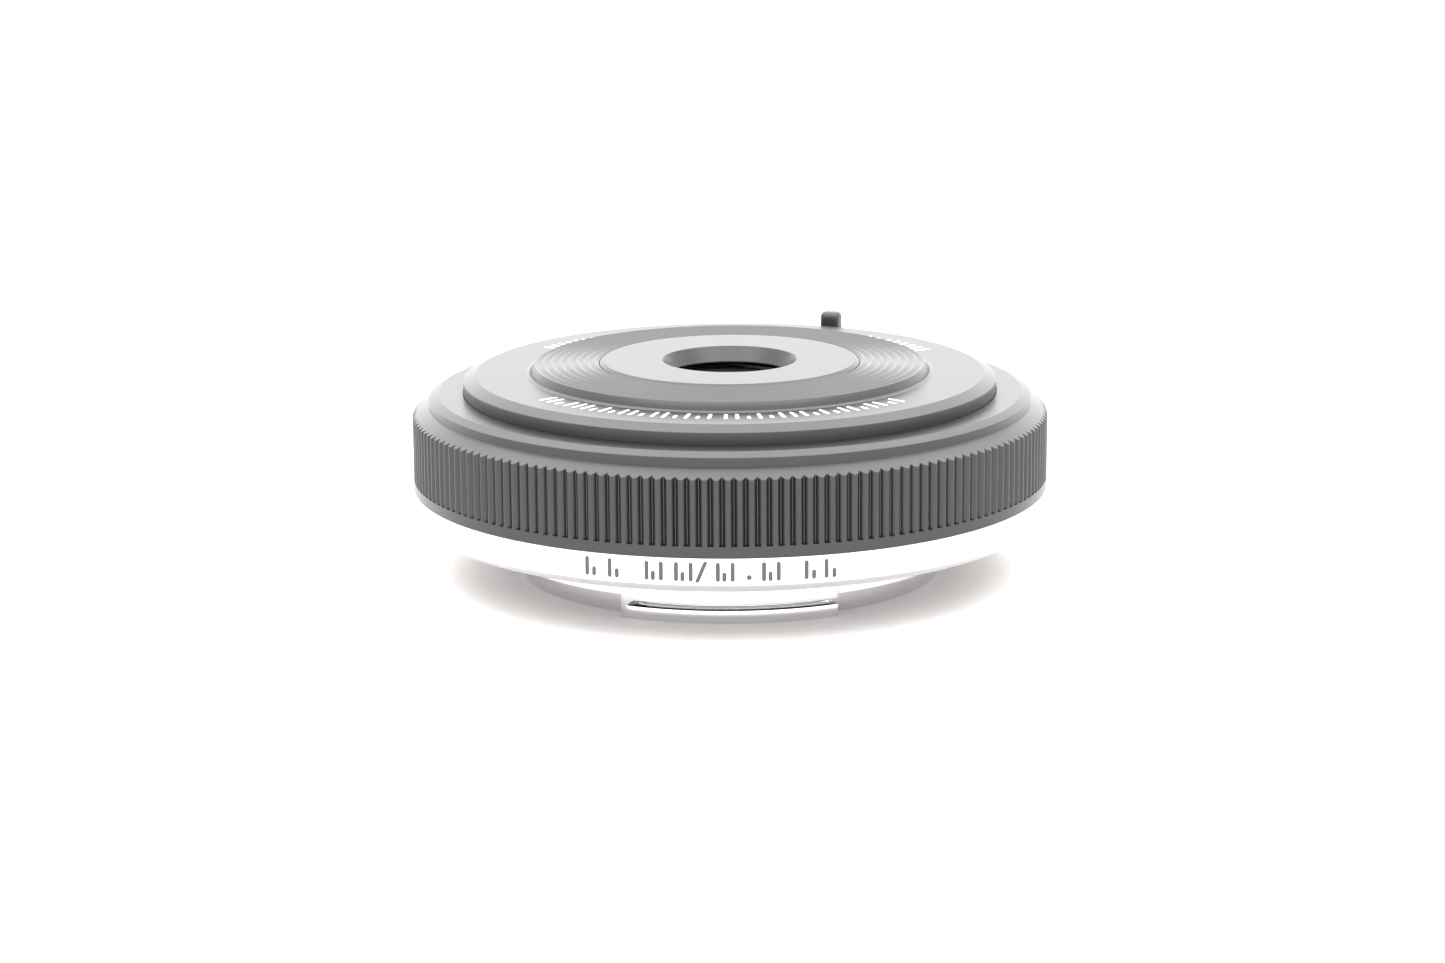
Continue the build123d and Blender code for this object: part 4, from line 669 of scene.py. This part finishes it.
def wrapped_bar(outline, degrees, radius, height, thickness):
    """Wrap a flat outline round a cylinder as a thin inlay."""
    flat, faces = prism(outline, radius - MARK_SUNK, radius + thickness)
    points = []
    for u, v, reach in flat:
        turn = math.radians(degrees - 90) + u / radius
        points.append((reach * math.cos(turn), reach * math.sin(turn), height + v))
    return points, faces


class LENS_OT_band(bpy.types.Operator):
    """Build the silver band with its dot recess, and the row of filled bars engraved on it"""

    bl_idname = "lens.band"
    bl_label = "Silver band"

    def execute(self, context):
        band = turned("silver_housing_band", BAND_OUTLINE)
        points, faces = prism(circle(DOT_R, 64), 0, 2)
        radius = in_mm(sizes().band_radius)
        points = [(u, radius - DOT_DEPTH + w, DOT_Z + v) for u, v, w in points]
        cut(band, points, faces)
        place(band, HOUSING, "silver_anodised", "silver_band")

        width, height = in_mm(sizes().mark_width), in_mm(sizes().mark_height)
        parts = []
        for degrees, kind in BAND_MARKS:
            if kind == "bar":
                outline, z = capsule(width, height), MARK_Z
            elif kind == "half":
                outline, z = capsule(width, height / 2), MARK_Z - height / 4
            elif kind == "slant":
                outline, z = [(u + 0.42 * v, v) for u, v in capsule(width, height * 1.12)], MARK_Z
            else:
                outline, z = capsule(width * 1.25, width * 1.25), MARK_Z - height / 2 + width
            parts.append(wrapped_bar(outline, degrees, radius, z, MARK_PROUD))
        marks = add_mesh("band_marks", *joined(parts))
        place(marks, HOUSING, "white_paint")
        marks.data.materials[0] = finish("dark_fill")
        return {"FINISHED"}


# ---- Ribbed grip ----
RIB_LOW_Z, RIB_START = 9.32, 0.6
GRIP_WAIST_Z = 12.0                  # the outline's lower part is rounded on its own below this height
RIB_CREST_DROP = 0.15                # how far a crest is rounded down beside its groove
RIB_FLOOR_SOFT, RIB_LIP_SOFT = 0.05, 0.03   # roundings of a groove's floor and of its lips
RIB_LIP_REACH = 0.08                 # how far beside a groove its lip is still rounded
# shares of the shoulder's slope at which the fading ribs get a row of points
SHOULDER_ROWS = (0.02, 0.05, 0.08, 0.11, 0.14, 0.17, 0.20, 0.23, 0.26, 0.29, 0.32, 0.36)
# mesh columns beside each groove, in mm from its middle
RIB_OFFSETS = (0.0, 0.04, 0.09, 0.14, 0.18, 0.21, 0.235, 0.26, 0.30, 0.36, 0.44)
GRIP_LOW = ((27.8, 8.28, 0.05), (30.15, 8.28, 0.10))
GRIP_TOP = (
    (28.55, 16.19, 0.02), (28.55, 16.98, 0.09), (27.66, 17.38, 0.10), (27.325, 17.38, 0.0),
    (25.575, 17.38, 0.0), (25.33, 17.38, 0.03), (25.33, 17.2, 0.02), (24.4, 17.2, 0.03),
    (24.4, 16.4, 0.03), (25.575, 16.4, 0.0), (27.325, 16.4, 0.0), (27.8, 16.4, 0.03),
)
SHOULDER_LOW, SHOULDER_TOP = (30.15, 15.29), (28.55, 16.19)
SLOT_IN_R, SLOT_OUT_R, SLOT_START, SLOT_END = 25.575, 27.325, 64.43, 95.77


class LENS_OT_grip(bpy.types.Operator):
    """Build the ribbed grip ring, with the lever's slot through its ledge"""

    bl_idname = "lens.grip"
    bl_label = "Ribbed grip"

    def execute(self, context):
        body = in_mm(sizes().body_radius)
        count = sizes().rib_count
        depth, half_groove = in_mm(sizes().rib_depth), in_mm(sizes().rib_groove) / 2
        pitch = TAU * body / count
        offsets = sorted({-o for o in RIB_OFFSETS} | set(RIB_OFFSETS) | {pitch / 2})
        start = math.radians(RIB_START)
        angles = np.concatenate([start + (k * pitch + np.array(offsets)) / body for k in range(count)])
        across = np.tile(np.abs(offsets), count)
        crest = RIB_CREST_DROP * ((pitch / 2 - across) / (pitch / 2 - half_groove))**2
        wall = depth - (depth - RIB_CREST_DROP) / half_groove * np.sqrt(across**2 + RIB_FLOOR_SOFT**2)
        sunk = (crest + wall + np.sqrt((wall - crest)**2 + RIB_LIP_SOFT**2)) / 2
        sunk = np.where(across > half_groove + RIB_LIP_REACH, crest, np.minimum(sunk, depth))

        inner = GRIP_LOW[0][0]
        lower = rounded((*GRIP_LOW, (body, GRIP_WAIST_Z, 0), (inner, GRIP_WAIST_Z, 0)))
        outline = [(r, z, False) for r, z in lower if z < GRIP_WAIST_Z]
        outline += [(body, 8.8, False), (body, RIB_LOW_Z - 0.08, False), (body, RIB_LOW_Z - 0.02, False)]
        for z in (RIB_LOW_Z + 0.03, RIB_LOW_Z + 0.08, RIB_LOW_Z + 0.4, 11.0, 12.5, 14.0, 14.9, 15.15,
                  SHOULDER_LOW[1] - 0.06):
            outline.append((body, z, True))
        low, high = np.array(SHOULDER_LOW), np.array(SHOULDER_TOP)
        for t in SHOULDER_ROWS:
            outline.append((*(low + (high - low) * t), True))
        upper = rounded((tuple(low) + (0,), *GRIP_TOP, (inner, 10.0, 0.0)))
        outline += [(r, z, False) for r, z in upper[1:-1] if z > 15.75 or r < 28.0]
        rows = len(outline)
        radii = np.empty((rows, len(angles)))
        heights = np.empty_like(radii)
        for row, (r, z, ribbed) in enumerate(outline):
            radii[row] = np.minimum(r, body - sunk) if ribbed else r
            heights[row] = z
        slot_rows = [i for i, (r, _, _) in enumerate(outline)
                     if min(abs(r - SLOT_OUT_R), abs(r - SLOT_IN_R)) < 1e-4]
        top_out, top_in, low_in, low_out = slot_rows
        degrees = np.degrees(angles) % 360
        in_slot = (degrees >= SLOT_START) & (degrees <= SLOT_END)
        columns = np.nonzero(in_slot)[0]
        first, last = int(columns[0]), int(columns[-1])
        total = len(angles)

        def skip(row, column):
            return row in (top_out, low_in) and first <= column < last

        extra = []
        for column in range(first, last):
            for above, below in ((top_out, low_out), (top_in, low_in)):
                extra.append((above * total + column, above * total + column + 1,
                              below * total + column + 1, below * total + column))
        for column in (first, last):
            extra.append((top_out * total + column, top_in * total + column,
                          low_in * total + column, low_out * total + column))
        grip = grid_mesh("ribbed_grip", angles, radii, heights, skip, extra, sharp_angle=42)
        place(grip, HOUSING, "black_anodised", "grip_ring")
        return {"FINISHED"}


# ---- Front plate and its print ----
PLATE_OUTLINE = (
    (18.96, 18.16, 0.03), (18.96, 19.22, 0.02), (19.38, 19.06, 0.15), (24.09, 19.06, 0.10),
    (25.28, 18.52, 0.10), (25.28, 17.2, 0.03), (24.4, 17.2, 0.03), (24.4, 18.16, 0.1),
)
PLATE_Z = 19.06
PRINT_R = 20.85
PRINT_WIDTH = 0.32
PRINT_PROUD, PRINT_SUNK = 0.006, 0.01
PRINT_PITCH = 0.98
PRINT_LENGTHS = (1.0, 1.0, 0.55, 1.0, 0.55)   # lengths of neighbouring bars, as shares of the print height
# arcs of print, in degrees from the front
PRINT_ARCS = ((-53, -44), (-41, -22), (-19, -5), (-1, 13), (16, 35), (38, 47),
              (117, 133), (137, 152), (156, 170), (176, 196), (200, 214), (219, 236))


class LENS_OT_front_plate(bpy.types.Operator):
    """Build the front plate and the ring of plain bars printed on it"""

    bl_idname = "lens.front_plate"
    bl_label = "Front plate"

    def execute(self, context):
        plate = turned("front_name_ring", PLATE_OUTLINE)
        place(plate, HOUSING, "black_anodised", "front_plate")
        height = in_mm(sizes().print_height)
        parts = []
        step = math.degrees(PRINT_PITCH / PRINT_R)
        for start, end in PRINT_ARCS:
            count = int((end - start) / step)
            for k in range(count + 1):
                degrees = start + (end - start) * k / count
                length = height * PRINT_LENGTHS[k % len(PRINT_LENGTHS)]
                drop = (height - length) / 2
                outline = capsule(PRINT_WIDTH, max(length, PRINT_WIDTH), 4)
                outward = polar(1, degrees - 90)
                flat = [beside(outward, PRINT_R + v + drop, u) for u, v in outline]
                parts.append(prism(flat, PLATE_Z - PRINT_SUNK, PLATE_Z + PRINT_PROUD))
        bars = add_mesh("front_print", *joined(parts))
        place(bars, HOUSING, "white_paint")
        return {"FINISHED"}


# ---- Grooved ring and window disc ----
GROOVED_Z, GROOVED_R, GROOVED_FOOT_R, GROOVED_BORE_R = 19.92, 18.46, 18.95, 12.40
GROOVED_INNER_Z = 20.12
DISC_OUTLINE = (
    (5.6, 18.75, 0.02), (5.6, 18.85, 0.04), (6.39, 20.2, 0.10), (11.97, 20.2, 0.08),
    (12.35, 19.96, 0.03), (12.35, 19.2, 0.03), (11.35, 19.2, 0.05), (11.35, 18.75, 0.03),
)


class LENS_OT_grooved_ring(bpy.types.Operator):
    """Build the raised ring with its turned grooves"""

    bl_idname = "lens.grooved_ring"
    bl_label = "Grooved ring"

    def execute(self, context):
        size = sizes()
        depth, pitch = in_mm(size.groove_depth), in_mm(size.groove_pitch)
        crest_r = GROOVED_R - size.groove_count * pitch
        slope = (GROOVED_INNER_Z - GROOVED_Z) / (GROOVED_R - crest_r)
        corners = [(11.4, 18.75, 0.05), (11.4, 19.2, 0.03), (GROOVED_BORE_R, 19.2, 0.03),
                   (GROOVED_BORE_R, GROOVED_INNER_Z - depth, 0.02)]
        for k in range(size.groove_count):
            crest = crest_r + k * pitch
            face = GROOVED_INNER_Z - (crest - crest_r) * slope
            valley = face - pitch / 2 * slope - depth
            corners += [(crest, face, 0.05), (crest + pitch / 2, valley, 0.08)]
        corners += [(GROOVED_R, GROOVED_Z, 0.08), (GROOVED_FOOT_R, 19.20, 0.0),
                    (GROOVED_FOOT_R, 18.16, 0.02), (19.8, 18.16, 0.05), (19.8, 17.4, 0.05),
                    (18.55, 17.4, 0.05), (18.55, 16.3, 0.05), (17.8, 16.3, 0.05), (17.8, 18.75, 0.1)]
        ring = turned("grooved_front_ring", corners)
        place(ring, HOUSING, "black_anodised", "grooved_ring")
        return {"FINISHED"}


class LENS_OT_window_disc(bpy.types.Operator):
    """Build the raised disc round the window"""

    bl_idname = "lens.window_disc"
    bl_label = "Window disc"

    def execute(self, context):
        disc = turned("window_disc", DISC_OUTLINE)
        place(disc, HOUSING, "black_anodised", "centre_disc")
        return {"FINISHED"}


# ---- Lever knob ----
KNOB_ANGLE, KNOB_R = 67.1, 26.45
# height, radial size, width, corner rounding
KNOB_LEVELS = (
    (16.15, 1.36, 1.96, 0.30), (16.18, 1.40, 2.00, 0.35), (17.44, 1.40, 2.00, 0.35),
    (17.48, 1.85, 3.30, 0.50), (17.54, 1.95, 3.40, 0.56), (17.62, 1.94, 3.36, 0.56),
    (17.74, 1.90, 3.10, 0.56), (17.88, 1.84, 2.78, 0.56), (18.04, 1.78, 2.46, 0.56),
    (18.22, 1.73, 2.20, 0.56), (18.42, 1.70, 2.06, 0.57), (18.70, 1.70, 2.00, 0.57),
    (19.20, 1.70, 2.00, 0.57), (19.60, 1.70, 2.00, 0.57), (19.78, 1.66, 1.96, 0.57),
    (19.93, 1.55, 1.85, 0.56), (20.05, 1.36, 1.66, 0.52), (20.13, 1.10, 1.40, 0.44),
    (20.16, 0.74, 1.02, 0.30),
)
KNOB_CORNER_STEPS = 8


class LENS_OT_knob(bpy.types.Operator):
    """Build the knob that opens and closes the cover"""

    bl_idname = "lens.knob"
    bl_label = "Cover knob"

    def execute(self, context):
        outward, along = polar(1, KNOB_ANGLE), polar(1, KNOB_ANGLE + 90)
        points = []
        per_level = 4 * (KNOB_CORNER_STEPS + 1)
        for height, radial, width, corner in KNOB_LEVELS:
            for quarter, (side_u, side_v) in enumerate(((1, 1), (-1, 1), (-1, -1), (1, -1))):
                for step in range(KNOB_CORNER_STEPS + 1):
                    turn = math.pi / 2 * (quarter + step / KNOB_CORNER_STEPS)
                    u = side_u * (radial / 2 - corner) + corner * math.cos(turn) + KNOB_R
                    v = side_v * (width / 2 - corner) + corner * math.sin(turn)
                    points.append((u * outward[0] + v * along[0],
                                   u * outward[1] + v * along[1], height))
        faces = wall_faces(len(KNOB_LEVELS), per_level)
        faces.append(tuple(range(per_level)))
        faces.append(tuple(range(len(points) - per_level, len(points))))
        knob = add_mesh("cover_knob", points, faces, 50)
        place(knob, LEVER, "black_anodised", "lever_knob")
        return {"FINISHED"}


# ---- Glass ----
GLASS_COLUMNS, GLASS_RINGS = 192, 40   # divisions round a face and across it
# name, node, radius, rear height, front height, rear sag, front sag
GLASSES = (
    ("front_glass", "first_element", 6.5, 15.9, 17.35, -0.45, -0.5),
    ("rear_glass", "rear_element", 11.8, 2.25, 3.7, -0.35, 0.5),
)


def face_heights(radius, middle, sag):
    """Return (radius, height) points across a ground face, from the axis to the edge."""
    ball = (radius**2 + sag**2) / (2 * abs(sag))
    reach = np.linspace(0, radius, GLASS_RINGS + 1)
    return [(r, middle + math.copysign(ball - math.sqrt(ball**2 - r**2), sag)) for r in reach]


class LENS_OT_glasses(bpy.types.Operator):
    """Build the two glass elements that can be seen, with smooth ground faces"""

    bl_idname = "lens.glasses"
    bl_label = "Glass elements"

    def execute(self, context):
        columns = GLASS_COLUMNS
        for name, node, radius, rear, front, rear_sag, front_sag in GLASSES:
            outline = face_heights(radius, rear, rear_sag)[1:]
            outline += face_heights(radius, front, front_sag)[:0:-1]
            angles = np.linspace(0, TAU, columns, endpoint=False)
            points = [(r * math.cos(a), r * math.sin(a), z) for r, z in outline for a in angles]
            faces = wall_faces(len(outline), columns)
            last = (len(outline) - 1) * columns
            points += [(0, 0, rear), (0, 0, front)]
            for i in range(columns):
                faces.append((i, (i + 1) % columns, len(points) - 2))
                faces.append((last + i, last + (i + 1) % columns, len(points) - 1))
            element = add_mesh(name, points, faces, 40)
            place(element, HOUSING, "coated_glass", node)
        return {"FINISHED"}


# ---- Pieces kept from the frame ----
class LENS_OT_kept_pieces(bpy.types.Operator):
    """Give every piece that keeps its frame shape its finish and smooth shading"""

    bl_idname = "lens.kept_pieces"
    bl_label = "Inner pieces"

    def execute(self, context):
        slots = {row["node"]: row["material_slot"] for row in frame["record"]["subparts"]}
        for node, piece in frame["nodes"].items():
            piece.data.materials.clear()
            piece.data.materials.append(finish(slots[node]))
            smooth(piece.data, KEPT_SHARP_ANGLE)
        return {"FINISHED"}


# ---- Stage ----
CAMERA_PLACE = (0.0, -0.36193, 0.09244)
CAMERA_DOWN, CAMERA_TURN, CAMERA_ROLL = 13.098, -0.117958, -0.389
CAMERA_LENS = 96.81
FLOOR_HALF = 2.5
ROOM_FALL_OFF = 1.7        # how quickly the room darkens from its back to its front
BACKDROP_STRENGTH = 1.2    # least brightness of the backdrop as the camera sees it


class LENS_OT_stage(bpy.types.Operator):
    """Build the table, the room's light, the softbox and the camera"""

    bl_idname = "lens.stage"
    bl_label = "Stage"

    def execute(self, context):
        scene = context.scene
        studio = scene.lens_studio
        self.build_floor(scene, studio)
        self.build_room(scene, studio)
        self.build_softbox(scene, studio)
        self.build_camera(scene)
        scene.view_settings.view_transform = "Standard"
        scene.view_settings.look = "None"
        return {"FINISHED"}

    def build_floor(self, scene, studio):
        work = bmesh.new()
        bmesh.ops.create_grid(work, x_segments=10, y_segments=10, size=FLOOR_HALF)
        mesh = bpy.data.meshes.new("table")
        work.to_mesh(mesh)
        work.free()
        table = bpy.data.objects.new("table", mesh)
        scene.collection.objects.link(table)
        material, tree, shader, coordinates = new_material("table_card")
        shader.inputs["Roughness"].default_value = 0.7
        shader.inputs["Specular IOR Level"].default_value = 0.25
        grain = add_group(tree, "fine_grain", Grains_per_metre=1500.0, Patches_per_metre=6.0)
        tree.links.new(coordinates, grain.inputs["Vector"])
        colour = tuple(studio.floor)
        duller, brighter = (tuple(c * factor for c in colour) for factor in (0.99, 1.01))
        base = mix_colour(tree, grain.outputs["Patches"], duller, brighter)
        tree.links.new(base, shader.inputs["Base Color"])
        mesh.materials.append(material)

    def build_room(self, scene, studio):
        """White room, brighter behind the lens than in front of it."""
        world = bpy.data.worlds.new("room")
        scene.world = world
        world.use_nodes = True
        tree = world.node_tree
        background = tree.nodes["Background"]
        direction = tree.nodes.new("ShaderNodeTexCoord").outputs["Generated"]
        split = tree.nodes.new("ShaderNodeSeparateXYZ")
        tree.links.new(direction, split.inputs[0])
        ramp = tree.nodes.new("ShaderNodeMapRange")
        turned_back = math_node(tree, "MULTIPLY_ADD", split.outputs[1], 0.5, 0.5)
        ramp.inputs["To Min"].default_value = studio.front_light
        ramp.inputs["To Max"].default_value = studio.back_light
        tree.links.new(math_node(tree, "POWER", turned_back, ROOM_FALL_OFF), ramp.inputs["Value"])
        path = tree.nodes.new("ShaderNodeLightPath")
        backdrop = math_node(tree, "MULTIPLY", path.outputs["Is Camera Ray"], BACKDROP_STRENGTH)
        tree.links.new(math_node(tree, "MAXIMUM", ramp.outputs[0], backdrop), background.inputs["Strength"])
        background.inputs["Color"].default_value = (1.0, 0.995, 0.99, 1.0)

    def build_softbox(self, scene, studio):
        light = bpy.data.lights.new("softbox", "AREA")
        light.shape = "SQUARE"
        light.size = studio.softbox_side
        light.energy = studio.softbox * math.pi * studio.softbox_side**2
        light.color = (1.0, 0.99, 0.985)
        softbox = bpy.data.objects.new("softbox", light)
        softbox.location = (0.0, studio.softbox_back, studio.softbox_height)
        softbox.visible_camera = False
        scene.collection.objects.link(softbox)

    def build_camera(self, scene):
        down, turn, roll = (math.radians(a) for a in (CAMERA_DOWN, CAMERA_TURN, CAMERA_ROLL))
        level = math.cos(down)
        forward = Vector((math.sin(turn) * level, math.cos(turn) * level, -math.sin(down)))
        right = Vector((math.cos(turn), -math.sin(turn), 0.0))
        up = right.cross(forward)
        rolled_right = math.cos(roll) * right + math.sin(roll) * up
        rolled_up = -math.sin(roll) * right + math.cos(roll) * up
        data = bpy.data.cameras.new("camera")
        data.sensor_width = 36.0
        data.lens = CAMERA_LENS
        data.clip_start = 0.01
        camera = bpy.data.objects.new("camera", data)
        camera.matrix_world = Matrix((
            (rolled_right.x, rolled_up.x, -forward.x, CAMERA_PLACE[0]),
            (rolled_right.y, rolled_up.y, -forward.y, CAMERA_PLACE[1]),
            (rolled_right.z, rolled_up.z, -forward.z, CAMERA_PLACE[2]),
            (0.0, 0.0, 0.0, 1.0)))
        scene.collection.objects.link(camera)
        scene.camera = camera


# ---- Panel and running order ----
OPERATORS = (
    LENS_OT_stage, LENS_OT_kept_pieces, LENS_OT_bayonet, LENS_OT_band, LENS_OT_grip, LENS_OT_front_plate,
    LENS_OT_grooved_ring, LENS_OT_window_disc, LENS_OT_knob, LENS_OT_glasses,
)


class LENS_PT_panel(bpy.types.Panel):
    """Lists the steps and the values that they use"""

    bl_idname = "LENS_PT_panel"
    bl_label = "Slim Lens"
    bl_space_type = "VIEW_3D"
    bl_region_type = "UI"
    bl_category = "Slim Lens"

    def draw(self, context):
        layout = self.layout
        for operator in OPERATORS:
            layout.operator(operator.bl_idname)
        for group in (context.scene.lens_sizes, context.scene.lens_finish, context.scene.lens_studio):
            box = layout.box()
            for name in group.__annotations__:
                box.prop(group, name)


CLASSES = (LensSizes, LensFinish, StudioSettings, *OPERATORS, LENS_PT_panel)


def register():
    for cls in CLASSES:
        bpy.utils.register_class(cls)
    bpy.types.Scene.lens_sizes = PointerProperty(type=LensSizes)
    bpy.types.Scene.lens_finish = PointerProperty(type=LensFinish)
    bpy.types.Scene.lens_studio = PointerProperty(type=StudioSettings)


def unregister():
    del bpy.types.Scene.lens_studio
    del bpy.types.Scene.lens_finish
    del bpy.types.Scene.lens_sizes
    for cls in reversed(CLASSES):
        bpy.utils.unregister_class(cls)


def main():
    register()
    for operator in OPERATORS:
        family, step = operator.bl_idname.split(".")
        getattr(getattr(bpy.ops, family), step)()


if __name__ == "__main__":
    main()
